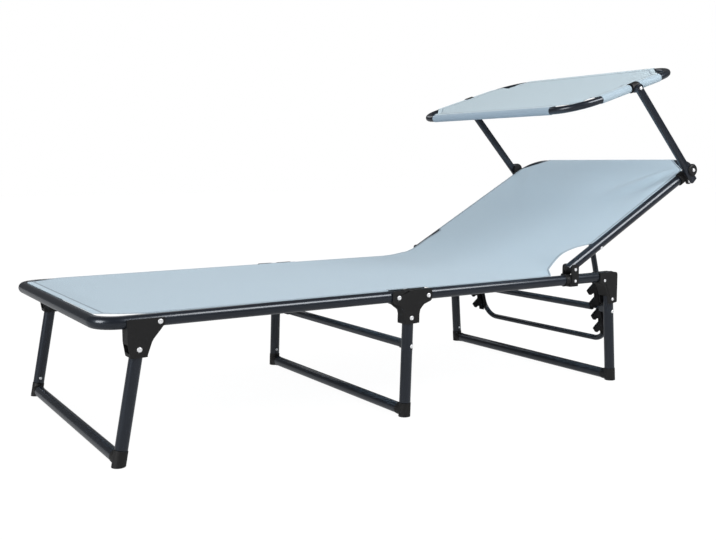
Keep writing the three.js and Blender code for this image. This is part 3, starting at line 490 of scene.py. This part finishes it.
# Tubes
def frame_tubes():
    y = RAIL_Y
    takes_place(bent_tube("bent_foot_tube", [
        at(FOOT_TUBE_END, -y, RAIL_Z), at(FOOT_TUBE_START, -y, RAIL_Z),
        at(FOOT_TUBE_START, y, RAIL_Z), at(FOOT_TUBE_END, y, RAIL_Z),
    ], TUBE_RADIUS, FOOT_BEND), "foot_tube")
    takes_place(bent_tube("bent_backrest_tube", [
        on_back(BACK_TUBE_START, -y, BACK_AXIS), on_back(BACK_LENGTH, -y, BACK_AXIS),
        on_back(BACK_LENGTH, y, BACK_AXIS), on_back(BACK_TUBE_START, y, BACK_AXIS),
    ], TUBE_RADIUS, FRAME_BEND), "back_tube")
    for side, sign in (("right", 1), ("left", -1)):
        takes_place(bent_tube(f"seat_side_tube_{side}", [
            at(SEAT_TUBE_START, sign * y, RAIL_Z), at(SEAT_TUBE_END, sign * y, RAIL_Z),
        ], TUBE_RADIUS, FRAME_BEND), f"seat_rail_{side}")


# Each leg's line: its x at the rails' height and on the floor, and the height of its pivot.
LEGS = {"front": (-671.4, -729.3, 243.0), "mid": (0.0, -12.1, 246.0), "rear": (684.0, 704.2, 236.0)}
# How far its tube runs past the pivot, in metres: the middle bracket leaves the least room to swing in.
LEG_STUBS = {"front": 0.022, "mid": 0.007, "rear": 0.022}


def leg_x(leg, z):
    top, foot, _ = LEGS[leg]
    return foot + (top - foot) * z / RAIL_Z


def leg_tubes():
    for leg, (top, foot, pivot_z) in LEGS.items():
        lean = Vector((top - foot, 0, RAIL_Z)).normalized()
        for side, sign in (("right", 1), ("left", -1)):
            upper = at(leg_x(leg, pivot_z), sign * RAIL_Y, pivot_z) + lean * LEG_STUBS[leg]
            lower = at(leg_x(leg, LEG_CORNER_TOP), sign * RAIL_Y, LEG_CORNER_TOP) + lean * 0.0003
            tube = bent_tube(f"{leg}_leg_tube_{side}", [lower, upper], TUBE_RADIUS, 0)
            takes_place(tube, f"{leg}_leg_{side}")
        x, half = leg_x(leg, FLOOR_TUBE_Z), FLOOR_TUBE_HALF
        ends = [at(x, -half, FLOOR_TUBE_Z), at(x, half, FLOOR_TUBE_Z)]
        takes_place(bent_tube(f"{leg}_floor_tube", ends, TUBE_RADIUS, 0), f"{leg}_crossbar")


def bail_rod():
    """The bent rod that hangs from the two bolts in the backrest's tube."""
    x = BACK_PIVOT[0] + BAIL_BOLT * math.cos(BACK_ANGLE) - BACK_AXIS * math.sin(BACK_ANGLE)
    z = BACK_PIVOT[1] + BAIL_BOLT * math.sin(BACK_ANGLE) + BACK_AXIS * math.cos(BACK_ANGLE)

    def hung(across, up):
        return at(x - up * math.sin(BAIL_LEAN), across, z + up * math.cos(BAIL_LEAN))

    side = BAIL_HALF_WIDTH
    takes_place(bent_tube("bail_rod", [
        hung(-side, BAIL_TOP), hung(-side, BAIL_FOOT), hung(side, BAIL_FOOT), hung(side, BAIL_TOP),
    ], BAIL_RADIUS, BAIL_BEND, sides=28), "bail")


def canopy_ring_tube():
    y = RING_SIDE
    takes_place(bent_tube("bent_canopy_tube", [on_canopy(*spot, RING_LIFT) for spot in (
        (RING_REAR, 0.15), (RING_REAR, y), (RING_FRONT, y),
        (RING_FRONT, -y), (RING_REAR, -y), (RING_REAR, -0.15),
    )], RING_RADIUS, RING_BEND / 1000, sides=30, bend_steps=20), "canopy_ring")


def outer_face(y):
    """On the outer side of either cheek of a bracket."""
    return min(abs(y - 336.5), abs(y - 370)) < 0.6


def reshaped(piece, moves):
    """Move corners of the two outer faces: {(x, z): (step in x, step in z)}, in millimetres."""
    for (corner_x, corner_z), (step_x, step_z) in moves.items():

        def at_corner(x, y, z):
            return outer_face(y) and math.hypot(x - corner_x, z - corner_z) < 0.5

        moved(piece, at_corner, step_x, step_z)


def shape_front_bracket(piece):
    """The plate's lower corner reaches forward and its edge sweeps up to the tube in one curve."""
    moved(piece, lambda x, y, z: -686.6 < x < -677.5 and z < 230.6, 15, 0)
    squared(piece, lambda x, y, z: -670 < x < -663 and z < 230.6, -665.4, 0.05)
    reshaped(piece, {
        (-667.5, 249.7): (9.5, 0), (-663.2, 256.4): (7.7, 0), (-658.6, 262.9): (7, 0),
        (-653.7, 269.2): (7, 0), (-645.2, 279.2): (7.7, 0), (-642.9, 281.4): (7.4, 0),
        (-640.2, 283.0): (6.7, 1), (-637.1, 283.9): (5.6, 2.6), (-628.9, 285.4): (1, 4.6),
        (-627.3, 286.1): (1, 5.5), (-626.3, 287.3): (0.3, 5.5), (-626.0, 289.0): (0, 5),
    })


def shape_mid_bracket(piece):
    """Straight stem, square at the bottom, wide curves up to both arms, the top's notch nearly closed."""
    squared(piece, lambda x, y, z: x < -21.9 and z < 242 and outer_face(y), -21, 0.03)
    squared(piece, lambda x, y, z: x < -24 and z < 277.6 and not outer_face(y), -18.9, 0.03)
    squared(piece, lambda x, y, z: 15 < x < 20.6 and z < 242, 20.6, 0.05)
    moved(piece, lambda x, y, z: -10.5 < x < 8.5 and 285 < z < 288.5, 0, 26.8)
    moved(piece, lambda x, y, z: -10.5 < x < 8.5 and 282.5 < z < 285, 0, 30.4)
    reshaped(piece, {
        (21.8, 273.0): (-0.8, -18), (22.5, 275.9): (1, -11), (24.2, 277.8): (4.5, -6.5),
        (26.9, 278.8): (8.5, -1.5), (34.0, 279.9): (9, 1.5), (-38.1, 273.1): (17.5, -18),
        (-39.1, 276.0): (16, -11), (-41.0, 278.2): (12.5, -6.5), (-43.7, 279.6): (8.5, -1.5),
        (-48.0, 281.1): (4, 0.5),
    })


def shape_hinge_bracket(piece):
    """A shorter collar with softer corners; the front knuckle gives way to the tube's own plug."""
    picked(piece, lambda x, y, z: x < 518.5 and z > 318)
    bpy.ops.mesh.delete(type="VERT")
    bpy.ops.mesh.select_all(action="DESELECT")
    bpy.ops.mesh.select_non_manifold(extend=False)
    bpy.ops.mesh.edge_face_add()
    moved(piece, lambda x, y, z: x < 488.5, 36, 0)
    moved(piece, lambda x, y, z: x < 496 and z > 316, 30, 0)


def collar_ring(piece, side):
    """The round front end of the hinge bracket's collar, joined to it."""
    across = RAIL_Y if side == "right" else -RAIL_Y
    ring = turned_piece("collar_ring", at(513, across, RAIL_Z), Vector((1, 0, 0)), [
        (0, 14.1), (0, 16.0), (0.9, 17.0), (4.0, 17.0), (4.6, 16.6), (7.0, 16.6), (7.6, 17.0),
        (13, 17.0), (14, 16.4),
    ], moulding, 36)
    nothing_selected()
    ring.select_set(True)
    piece.select_set(True)
    bpy.context.view_layer.objects.active = piece
    bpy.ops.object.join()


def shape_knob(piece):
    """A flatter, slightly wider grip than the drawn one."""
    picked(piece, lambda x, y, z: True)
    bpy.ops.transform.resize(value=(1.05, 1, 1.05), center_override=at(ARM_PIVOT[0], 0, ARM_PIVOT[1]))
    picked(piece, lambda x, y, z: y > 391)
    bpy.ops.transform.translate(value=(0, -0.0045 if piece.name.endswith("right") else 0.0045, 0))


def shape_arm(piece):
    """A slightly wider bar than the drawn one."""
    slope = math.atan2(CANOPY_PIVOT[1] - ARM_PIVOT[1], CANOPY_PIVOT[0] - ARM_PIVOT[0])
    pivot = at(ARM_PIVOT[0], 0, ARM_PIVOT[1])
    picked(piece, lambda x, y, z: True)
    bpy.ops.transform.rotate(value=-slope, orient_axis="Y", center_override=pivot)
    bpy.ops.transform.resize(value=(1, 1, 1.16), center_override=pivot)
    bpy.ops.transform.rotate(value=slope, orient_axis="Y", center_override=pivot)


def shape_bolt(piece):
    """The bolt's outer head is drawn in, inside the tube's far wall; the left one comes out narrower."""
    for sign in (1, -1):
        picked(piece, lambda x, y, z: y > 366)
        bpy.ops.transform.resize(value=(0.6, 1, 0.6), center_override=on_back(BAIL_BOLT, 0, BACK_AXIS))
        if piece.name.endswith("right") == (sign > 0):
            bpy.ops.transform.translate(value=(0, -0.006 * sign, 0))


def shape_tabs(piece):
    """The flattened ends stop short of the legs' outer sides."""
    for sign in (1, -1):
        picked(piece, lambda x, y, z: y > 364)
        shape = bmesh.from_edit_mesh(piece.data)
        for vertex in shape.verts:
            vertex.select = vertex.select and vertex.co.y * sign > 0
        shape.select_flush_mode()
        bmesh.update_edit_mesh(piece.data)
        bpy.ops.transform.translate(value=(0, -0.016 * sign, 0))


def rounded_solids():
    """Mouldings, sleeves, arms and bars from their solids, and a turned rivet for each pin."""
    for side in ("right", "left"):
        for node, width, shaping in (
                ("front_bracket", 0.0012, shape_front_bracket), ("mid_bracket", 0.0012, shape_mid_bracket),
                ("rear_bracket", 0.0012, None), ("hinge_bracket", 0.0010, shape_hinge_bracket),
                ("canopy_base", 0.0008, None), ("rack", 0.0007, None), ("canopy_knob", 0.0010, shape_knob),
                ("canopy_clip", 0.0008, None), ("front_foot", 0.0008, None), ("mid_foot", 0.0008, None),
                ("rear_foot", 0.0008, None)):
            # The racks take the shaded copy of the moulding.
            skin = shaded_rack_moulding if node == "rack" else moulding
            piece = finished_copy(f"{node}_{side}", f"{node}_moulding_{side}", skin, width, shaping)
            if node == "hinge_bracket":
                collar_ring(piece, side)
            takes_place(piece, f"{node}_{side}")
        for node, grip, scale in (
                ("front_leg_pin", 16.75, 1.0), ("mid_leg_pin", 16.75, 1.0), ("rear_leg_pin", 16.75, 0.75),
                ("foot_fold_pin", 16.75, 1.0), ("seat_fold_pin", 16.75, 1.0), ("back_pin", 18.95, 0.75)):
            takes_place(rivet(f"{node}_{side}", f"{node}_rivet_{side}", grip, scale), f"{node}_{side}")
        for node, name, skin, width, shaping in (
                ("bail_bolt", "bail_bolt_sleeve", plated, 0.0005, shape_bolt),
                ("canopy_arm", "canopy_arm_bar", steel, 0.0012, shape_arm)):
            piece = finished_copy(f"{node}_{side}", f"{name}_{side}", skin, width, shaping)
            takes_place(piece, f"{node}_{side}")
    takes_place(finished_copy("mid_upper_bar", "mid_stretcher", steel, 0.0008, shape_tabs), "mid_upper_bar")
    takes_place(finished_copy("rear_brace", "rear_brace_bar", steel, 0.0008, shape_tabs), "rear_brace")


# Small fasteners, ribs and plugs
def fasteners():
    for side, sign in (("right", 1), ("left", -1)):
        out = Vector((0, sign, 0))
        for body, name, x, z, y, scale in (
                ("foot_frame", "front_bracket_rivet", -636, 298, 370.0, 1.0),
                ("seat_frame", "rear_bracket_rivet", 656.6, 290.9, 370.0, 0.7),
                ("seat_frame", "hinge_bracket_rivet", 541, 298, 372.2, 0.7)):
            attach(head(f"{name}_{side}", at(x, sign * y, z), out, scale), body)
        for leg, body in (("front", "front_legs"), ("mid", "mid_legs"), ("rear", "rear_legs")):
            inner_side = at(leg_x(leg, 48), sign * (RAIL_Y - TUBE_R - 0.2), 48)
            screw = head(f"{leg}_corner_screw_{side}", inner_side, -out, 0.65)
            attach(screw, body)
        for leg, body, name, height, slant in (
                ("mid", "mid_legs", "stretcher_screw", 175, Vector((0.42, 0.907 * sign, 0))),
                ("rear", "rear_legs", "brace_screw", 200, Vector((0.22, 0.975 * sign, 0)))):
            seat = at(leg_x(leg, height), sign * RAIL_Y, height) + slant * (TUBE_R - 0.4) / 1000
            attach(head(f"{name}_{side}", seat, slant, 0.95), body)
        top = head(f"canopy_arm_rivet_{side}", at(CANOPY_PIVOT[0], sign * 388.9, CANOPY_PIVOT[1]), out, 0.9)
        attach(top, "canopy")
        rib_ends = [at(662, sign * 369.6, 284), at(681, sign * 369.6, 236)]
        rib = bent_tube(f"rear_bracket_rib_{side}", rib_ends, 0.0016, 0)
        rib.data.materials[0] = moulding
        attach(rib, "seat_frame")
        lobe = hex_nut(f"canopy_base_nut_{side}", on_back(506.2, sign * 374.7, -9.5), out, 0.0062, 0.0035)
        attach(lobe, "backrest")
        hub = head(f"canopy_knob_screw_{side}", at(ARM_PIVOT[0], sign * 392.5, ARM_PIVOT[1]), out, 0.9)
        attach(hub, "backrest")
        back = head(f"backrest_tube_rivet_{side}", on_back(117, sign * (RAIL_Y + 11.6), BACK_AXIS - 7.6),
                    (on_back(0, sign * 11.6, -7.6) - on_back(0, 0, 0)).normalized(), 0.85)
        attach(back, "backrest")
        down = (on_back(-1, 0, 0) - on_back(0, 0, 0)).normalized()
        tube_end = on_back(BACK_TUBE_START, sign * RAIL_Y, BACK_AXIS)
        plug = turned_piece(f"backrest_tube_plug_{side}", tube_end, down, [
            (-5, 12.0), (0.15, 12.0), (0.15, 13.6), (0.9, 13.3), (2.0, 10.9), (3.0, 7.9),
            (3.6, 5.0), (3.8, 1.0),
        ], moulding, 32)
        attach(plug, "backrest")


# Cloth
def smooth_step(value):
    value = min(max(value, 0.0), 1.0)
    return value * value * (3 - 2 * value)


def between(value, stations):
    """Read a table of (place, size) pairs, with straight lines between them."""
    if value <= stations[0][0]:
        return stations[0][1]
    for (low, first), (high, second) in zip(stations, stations[1:]):
        if value <= high:
            return first + (second - first) * (value - low) / (high - low)
    return stations[-1][1]


# Half widths of the bed's cloth: along the tubes, at the middle brackets, beside the far hinge.
SIDE = 352.0
NECK = 346.0
FAR_CUT = 336.0
# Radius of the pocket round the head end's tube.
POCKET_R = TUBE_R + 0.9
# How far from the crease between seat and backrest the cloth starts to turn.
REACH_OF_TURN = 95.0
# The bed's sag between its tubes, the canopy's, and the rise over the middle brackets.
SAG, CANOPY_SAG = -5.5, -7.0
BRACKET_RISE = 1.5
CORNER_DROP = -8.0
# The corner folds of the backrest and the lift at its cut-outs, on the near and the far side.
NEAR_FOLD, FAR_FOLD = 7.5, 2.5
NEAR_LIFT, FAR_LIFT = 8.5, 4.0
FAR_HOLD = 0.25
# The side hems are this much narrower than the foot's, so that their seams lie on the tubes.
SIDE_HEM = 13.0
# Thickness of the cloths, in metres.
BED_THICK = 0.0012
CANOPY_THICK = 0.0010


def lattice(rows, columns):
    """Rows and columns of a cloth panel, as counts along and across."""
    nothing_selected()
    bpy.ops.mesh.primitive_grid_add(x_subdivisions=len(columns) - 1, y_subdivisions=len(rows) - 1, size=1)
    panel = bpy.context.object
    count = len(columns)
    order = sorted(panel.data.vertices, key=lambda v: (round(v.co.y, 6), round(v.co.x, 6)))
    return panel, [(vertex, rows[i // count], columns[i % count]) for i, vertex in enumerate(order)]


def cloth_panel(name, rows, half_width, height, place, distance):
    """A panel: half_width(s, t) is its outline, height(s, y) its lie, distance(s, side) how far in it is."""
    hem = [0, 0.006, 0.016, 0.030, 0.048, 0.054, 0.075]
    inner = [0.075 + (0.925 * k) / 22 for k in range(1, 23)]
    half = hem + inner
    columns = [-1 + t for t in half] + [1 - t for t in reversed(half[:-1])]
    panel, spots = lattice(rows, columns)
    edge = panel.data.attributes.new("edge", "FLOAT", "POINT")
    places = {}
    for vertex, s, t in spots:
        w = half_width(s, t)
        y = t * w
        places[vertex.index] = (y / 1000, s / 1000)
        edge.data[vertex.index].value = distance(s, w - abs(y)) / 1000
        vertex.co = place(s, y, height(s, y))
    layer = panel.data.uv_layers.new(name="cloth")
    for loop in panel.data.loops:
        layer.data[loop.index].uv = places[loop.vertex_index]
    return panel


def finish_cloth(panel, name, material, thick):
    editing(panel)
    bpy.ops.mesh.select_all(action="SELECT")
    bpy.ops.mesh.normals_make_consistent(inside=False)
    piece = settled(name, material, 60)
    shell = piece.modifiers.new("cloth_thickness", "SOLIDIFY")
    shell.thickness, shell.offset = thick, 0.0
    bpy.ops.object.modifier_apply(modifier=shell.name)
    bpy.ops.object.shade_smooth_by_angle(angle=math.radians(60))
    return piece


def steps(low, high, count):
    return [low + (high - low) * k / count for k in range(count + 1)]


def bed_height(s, y):
    """Taut over the tubes, sagging a little between them."""
    across = 1 - (y / (RAIL_Y - 12)) ** 2
    sag = SAG * max(across, 0.0) ** 0.8 if abs(y) < RAIL_Y - 12 else 0.0
    over_bracket = smooth_step((abs(y) - 318) / 16) * smooth_step((60.5 - abs(s - 1)) / 3)
    return sag + BRACKET_RISE * over_bracket


def foot_half_width(s, t):
    return between(s, [(-754, 292), (-748, 300), (-715, 319.5), (-677, 342), (-662, SIDE), (-58.5, SIDE),
                       (-56.5, NECK), (5, NECK)])


def seat_half_width(s, t):
    return between(s, [(0, NECK), (58.5, NECK), (60.5, SIDE), (464, SIDE), (469, 350),
                       (474, 343), (480, 333), (487, 326), (500, 318), (515, 312), (535, 308), (556, 306)])


def back_half_width(s):
    """Backrest panel, by distance from the hinge pivot."""
    return between(s, [(28, 306), (57, 308), (75, 315), (84, 325), (92, 337), (98, 346), (104, SIDE),
                       (508, SIDE), (522, SIDE - 6), (BACK_LENGTH, 272)])


def flat_place(s, y, z):
    return at(s, y, RAIL_Z + CLOTH_LIFT + z)


def bed_cloth():
    # Foot panel
    rows = ([-754, -751, -746, -740, -736, -733, -726] + steps(-716, -100, 36)
            + [-90, -80, -70, -62, -59, -57.5, -56, -50, -40, -28, -16, -6, 4.5])

    def foot_height(s, y):
        return bed_height(s, y) * smooth_step((s + 745) / 60)

    foot = cloth_panel("foot", rows, foot_half_width, foot_height, flat_place,
                       lambda s, side: min(s + 754, side + SIDE_HEM))
    foot = finish_cloth(foot, "bed_cloth_foot", bed_cloth_finish, BED_THICK)
    at(-60, 0, 315)
    at(-20, 0, 315)
    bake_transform(foot)
    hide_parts("fabric_foot")
    # First half of the seat panel
    rows = [2.5, 14, 26, 38, 50, 57, 59, 60, 62, 66, 74, 82, 92, 104] + steps(120, 301, 10)
    seat = cloth_panel("seat", rows, seat_half_width, lambda s, y: bed_height(s, y) - 0.06, flat_place,
                       lambda s, side: side + SIDE_HEM)
    seat = finish_cloth(seat, "bed_cloth_seat", bed_cloth_finish, BED_THICK)
    at(28, 0, 315)
    at(70, 0, 315)
    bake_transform(seat)
    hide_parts("fabric_seat")
    # Rest of the seat, round the hinge and up the backrest to its head pocket
    lift = BACK_AXIS + CLOTH_LIFT
    slope = Vector((math.cos(BACK_ANGLE), math.sin(BACK_ANGLE)))
    level = RAIL_Z + CLOTH_LIFT
    back_to_level = (BACK_PIVOT[1] + lift * slope.x - level) / slope.y
    crease = Vector((BACK_PIVOT[0] - lift * slope.y - back_to_level * slope.x, level))
    low, high = crease - Vector((REACH_OF_TURN, 0)), crease + slope * REACH_OF_TURN
    arc = [low.lerp(crease, q).lerp(crease.lerp(high, q), q) for q in (k / 40 for k in range(41))]
    run = [0.0]
    for before, after in zip(arc, arc[1:]):
        run.append(run[-1] + (after - before).length)
    span = run[-1]
    high_along = (high - Vector(BACK_PIVOT)).dot(slope)

    def lie(s):
        """(x, z, tilt) of the cloth's middle line at a distance s from the split at x = 300."""
        flat = low.x - 300
        if s <= flat:
            return 300 + s, level, 0.0
        if s < flat + span:
            step = max(k for k, length in enumerate(run) if length <= s - flat)
            q = (s - flat - run[step]) / (run[step + 1] - run[step])
            spot = arc[step].lerp(arc[step + 1], q)
            return spot.x, spot.y, BACK_ANGLE * smooth_step((step + q) / 40)
        d = s - flat - span + high_along
        return (BACK_PIVOT[0] + d * math.cos(BACK_ANGLE) - lift * math.sin(BACK_ANGLE),
                BACK_PIVOT[1] + d * math.sin(BACK_ANGLE) + lift * math.cos(BACK_ANGLE), BACK_ANGLE)

    shift = low.x - 300 + span - high_along
    top = shift + BACK_LENGTH

    def half_width(s, t):
        along = s - shift
        width = back_half_width(along) if along > 28 else seat_half_width(lie(s)[0], t)
        return max(width, FAR_CUT) if t > 0 and along < 104 else width

    def place(s, y, z):
        x, height, tilt = lie(s)
        if s > top:
            wrap = (s - top) / POCKET_R
            along = BACK_LENGTH + POCKET_R * math.sin(wrap)
            up = BACK_AXIS + POCKET_R * math.cos(wrap)
            return on_back(along, y, up)
        return at(x - z * math.sin(tilt), y, height + z * math.cos(tilt))

    def height(s, y):
        along = s - shift
        ends = smooth_step((BACK_LENGTH - along) / 90)
        down, aside = BACK_LENGTH - 8 - along, RAIL_Y - 8 - abs(y)
        reach, bearing = math.hypot(down, aside), math.degrees(math.atan2(aside, down))
        fan = smooth_step((reach - 20) / 90) * smooth_step((330 - reach) / 200)
        window = math.exp(-(((bearing - 34) / 20) ** 2))
        ripple = math.sin(math.radians((bearing - 30) * 10))
        folds = (NEAR_FOLD if y < 0 else FAR_FOLD) * fan * window * ripple
        x = lie(s)[0]
        lifted = math.exp(-(((x - 552) / 38) ** 2)) * smooth_step((abs(y) - 200) / 100)
        pull = (NEAR_LIFT if y < 0 else FAR_LIFT) * lifted
        raised = lie(s)[1] - level
        held_down = -raised * smooth_step((abs(y) - 305) / 40) * smooth_step((482 - x) / 12)
        held_down *= 1 if y < 0 else FAR_HOLD
        return bed_height(300 + s, y) * ends + folds + pull + held_down

    rows = (steps(-1, 136, 8) + steps(142, 200, 24) + steps(202.4, shift + 110, 24)
            + steps(shift + 122, shift + 500, 30)
            + [shift + q for q in (508, 515, 522, 530, 540, 550, 560, 570)]
            + [top] + [top + POCKET_R * q for q in (0.4, 0.8, 1.2, 1.6, 2.0, 2.4, 2.8, 3.14)])
    back = cloth_panel("back", rows, lambda s, t: 272 if s > top else half_width(s, t), height, place,
                       lambda s, side: side + SIDE_HEM)
    back = finish_cloth(back, "bed_cloth_back", bed_cloth_finish, BED_THICK)
    at(505, 0, 322)
    at(553, 0, 336)
    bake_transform(back)
    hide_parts("fabric_back")
    length = (top + 3.14 * POCKET_R) / 1000


def canopy_cloth():
    """One sheet over the ring, with a sleeve on each side and bare corners."""
    reach = RING_R + 0.9
    cut = RING_BEND + 5

    def half_width(x, t):
        return between(x, [
            (RING_FRONT, RING_SIDE - cut), (RING_FRONT + cut, RING_SIDE), (-19, RING_SIDE), (-15, 350),
            (15, 350), (19, RING_SIDE), (RING_REAR - cut, RING_SIDE), (RING_REAR, RING_SIDE - cut)])

    def height(x, y):
        u = (x - RING_FRONT) / (RING_REAR - RING_FRONT)
        v = y / RING_SIDE
        sag = CANOPY_SAG * (max(1 - (2 * u - 1) ** 2, 0) * max(1 - v * v, 0)) ** 0.8
        corner = math.exp(-(((abs(x + 13) - 150) / 50) ** 2) - (((abs(y) - 285) / 60) ** 2))
        from_end = min(x - RING_FRONT, RING_REAR - x)
        to_corner = from_end + RING_SIDE - abs(y) - cut
        clear = smooth_step((RING_SIDE - abs(y) - 24) / 26) * smooth_step((from_end - 24) / 26)
        drop = CORNER_DROP * smooth_step((50 - to_corner) / 50) * clear
        return sag + corner * 1.5 * math.sin((abs(x + 13) - abs(y)) / 12.0) + drop

    rows = (steps(RING_FRONT, RING_FRONT + 30, 6) + steps(RING_FRONT + 36, -25, 18) + [-19, -15, 0, 15, 19]
            + steps(25, RING_REAR - 36, 18) + steps(RING_REAR - 30, RING_REAR, 6))
    top = cloth_panel("canopy", rows, half_width, height,
                      lambda s, y, z: on_canopy(s, y, RING_LIFT + reach + z),
                      lambda s, side: min(s - RING_FRONT, RING_REAR - s, side) + 6)
    parts = [top]

    def sleeve(start, end, outward):
        """Cloth round one straight of the ring and back up to its seam under the sheet."""
        count = max(int((end - start).length / 0.02), 2)
        arc = [math.radians(90 + 15 * k) for k in range(16)]
        panel, spots = lattice(list(range(len(arc) + 1)), [k / count for k in range(count + 1)])
        up = (on_canopy(0, 0, 1) - on_canopy(0, 0, 0)).normalized()
        edge = panel.data.attributes.new("edge", "FLOAT", "POINT")
        sleeve_shade_layer = panel.data.attributes.new("sleeve", "FLOAT", "POINT")
        uv = {}
        for vertex, row, t in spots:
            base = start.lerp(end, t)
            if row < len(arc):
                angle = arc[row]
                spot = base + (up * math.sin(angle) - outward * math.cos(angle)) * reach / 1000
            else:
                spot = base - outward * 0.021 + up * (reach - 1.2) / 1000
            vertex.co = spot
            edge.data[vertex.index].value = 0.03
            # Painted shade on the sleeves: full on the front and rear sleeves, half on the side sleeves.
            sleeve_shade_layer.data[vertex.index].value = 1.0 if abs(outward.y) < 0.5 else 0.5
            uv[vertex.index] = (t * (end - start).length, row * reach * 0.2618 / 1000)
        layer = panel.data.uv_layers.new(name="cloth")
        for loop in panel.data.loops:
            layer.data[loop.index].uv = uv[loop.vertex_index]
        parts.append(panel)

    front = (on_canopy(-1, 0, 0) - on_canopy(0, 0, 0)).normalized()
    side = RING_SIDE - cut
    sleeve(on_canopy(RING_FRONT, -side, RING_LIFT), on_canopy(RING_FRONT, side, RING_LIFT), front)
    sleeve(on_canopy(RING_REAR, -side, RING_LIFT), on_canopy(RING_REAR, side, RING_LIFT), -front)
    for sign in (1, -1):
        out = Vector((0, sign, 0))
        for low, high in ((RING_FRONT + cut, -19), (19, RING_REAR - cut)):
            start, end = (on_canopy(x, sign * RING_SIDE, RING_LIFT) for x in (low, high))
            sleeve(start, end, out)
    nothing_selected()
    for part in parts:
        part.select_set(True)
    bpy.context.view_layer.objects.active = top
    bpy.ops.object.join()
    cloth = finish_cloth(bpy.context.object, "canopy_cloth", canopy_cloth_finish, CANOPY_THICK)
    takes_place(cloth, "fabric_canopy")


# Floor, light and camera
# The floor's glow to the camera and in reflections, and the share of it in what the camera sees.
FLOOR_GLOW, FLOOR_MIRRORED, FLOOR_SHARE = 1.035, 0.35, 0.93
# The sky's strength as a light, what the camera sees on top of it, and what reflections miss.
SKY_LIGHT, SKY_SEEN, SKY_UNMIRRORED = 0.76, 0.24, 0.66
CAMERA_PLACE = (-1298.1, -2205.6, 626.1)
CAMERA_YAW, CAMERA_PITCH, CAMERA_ROLL = 0.5568, 0.1163, -0.0037
CAMERA_LENS, CAMERA_SENSOR = 47.06, 36.0


def studio():
    nothing_selected()
    bpy.ops.mesh.primitive_plane_add(size=30, location=(0, 0, -0.0002))
    floor = bpy.context.object
    floor.name = "studio_floor"
    paint = Finish("pale_floor", (0.9, 0.9, 0.9), 0.9)
    camera_ray = paint.node("ShaderNodeLightPath", {}, {}, "Is Camera Ray")
    glossy_ray = paint.node("ShaderNodeLightPath", {}, {}, "Is Glossy Ray")
    glow = paint.node("ShaderNodeEmission", {}, {
        "Color": (1, 1, 1, 1), "Strength": camera_ray * FLOOR_GLOW + glossy_ray * FLOOR_MIRRORED})
    lit = Term(paint.tree, paint.shader.outputs[0])
    mix = paint.tree.nodes.new("ShaderNodeMixShader")
    share = (camera_ray * FLOOR_SHARE + glossy_ray).clamped()
    for slot, value in zip(mix.inputs, (share, lit, glow)):
        paint.tree.links.new(value.socket, slot)
    out = paint.tree.nodes["Material Output"]
    paint.tree.links.new(mix.outputs[0], out.inputs["Surface"])
    floor.data.materials.append(paint.material)

    world = bpy.data.worlds.new("studio_sky")
    bpy.context.scene.world = world
    world.use_nodes = True
    tree = world.node_tree
    sky = tree.nodes["Background"]
    sky.inputs["Color"].default_value = (1, 1, 1, 1)
    path = tree.nodes.new("ShaderNodeLightPath")
    camera_ray, glossy_ray = (Term(tree, path.outputs[kind]) for kind in ("Is Camera Ray", "Is Glossy Ray"))
    strength = camera_ray * SKY_SEEN - glossy_ray * SKY_UNMIRRORED + SKY_LIGHT
    tree.links.new(strength.socket, sky.inputs["Strength"])

    for name, place, target, width, depth, power in (
            ("side_light", (1.45, -2.3, 2.55), (1.45, 0, 0.4), 2.6, 1.15, 86),
            ("front_light", (-5.5, -0.8, 2.6), (0.1, 0, 0.35), 2.6, 2.6, 170),
            ("rim_light", (0.4, 3.2, 2.8), (0.1, 0, 0.35), 2.0, 2.0, 12)):
        lamp = bpy.data.lights.new(name, "AREA")
        lamp.shape, lamp.size, lamp.size_y, lamp.energy = "RECTANGLE", width, depth, power
        holder = bpy.data.objects.new(name, lamp)
        bpy.context.scene.collection.objects.link(holder)
        holder.location = place
        holder.rotation_euler = (Vector(target) - Vector(place)).to_track_quat("-Z", "Y").to_euler()


def camera():
    yaw, pitch, roll = CAMERA_YAW, CAMERA_PITCH, CAMERA_ROLL
    forward = Vector((math.sin(yaw) * math.cos(pitch), math.cos(yaw) * math.cos(pitch), -math.sin(pitch)))
    level = Vector((math.cos(yaw), -math.sin(yaw), 0))
    upright = level.cross(forward)
    right = level * math.cos(roll) + upright * math.sin(roll)
    up = right.cross(forward)
    view = bpy.data.cameras.new("photo_view")
    view.lens, view.sensor_width = CAMERA_LENS, CAMERA_SENSOR
    holder = bpy.data.objects.new("photo_view", view)
    bpy.context.scene.collection.objects.link(holder)
    holder.matrix_world = Matrix.Translation(at(*CAMERA_PLACE)) @ Matrix(
        (right, up, -forward)).transposed().to_4x4()
    bpy.context.scene.camera = holder
    bpy.context.scene.view_settings.view_transform = "Standard"


camera()
frame_tubes()
leg_tubes()
bail_rod()
canopy_ring_tube()
rounded_solids()
fasteners()
bed_cloth()
canopy_cloth()
studio()
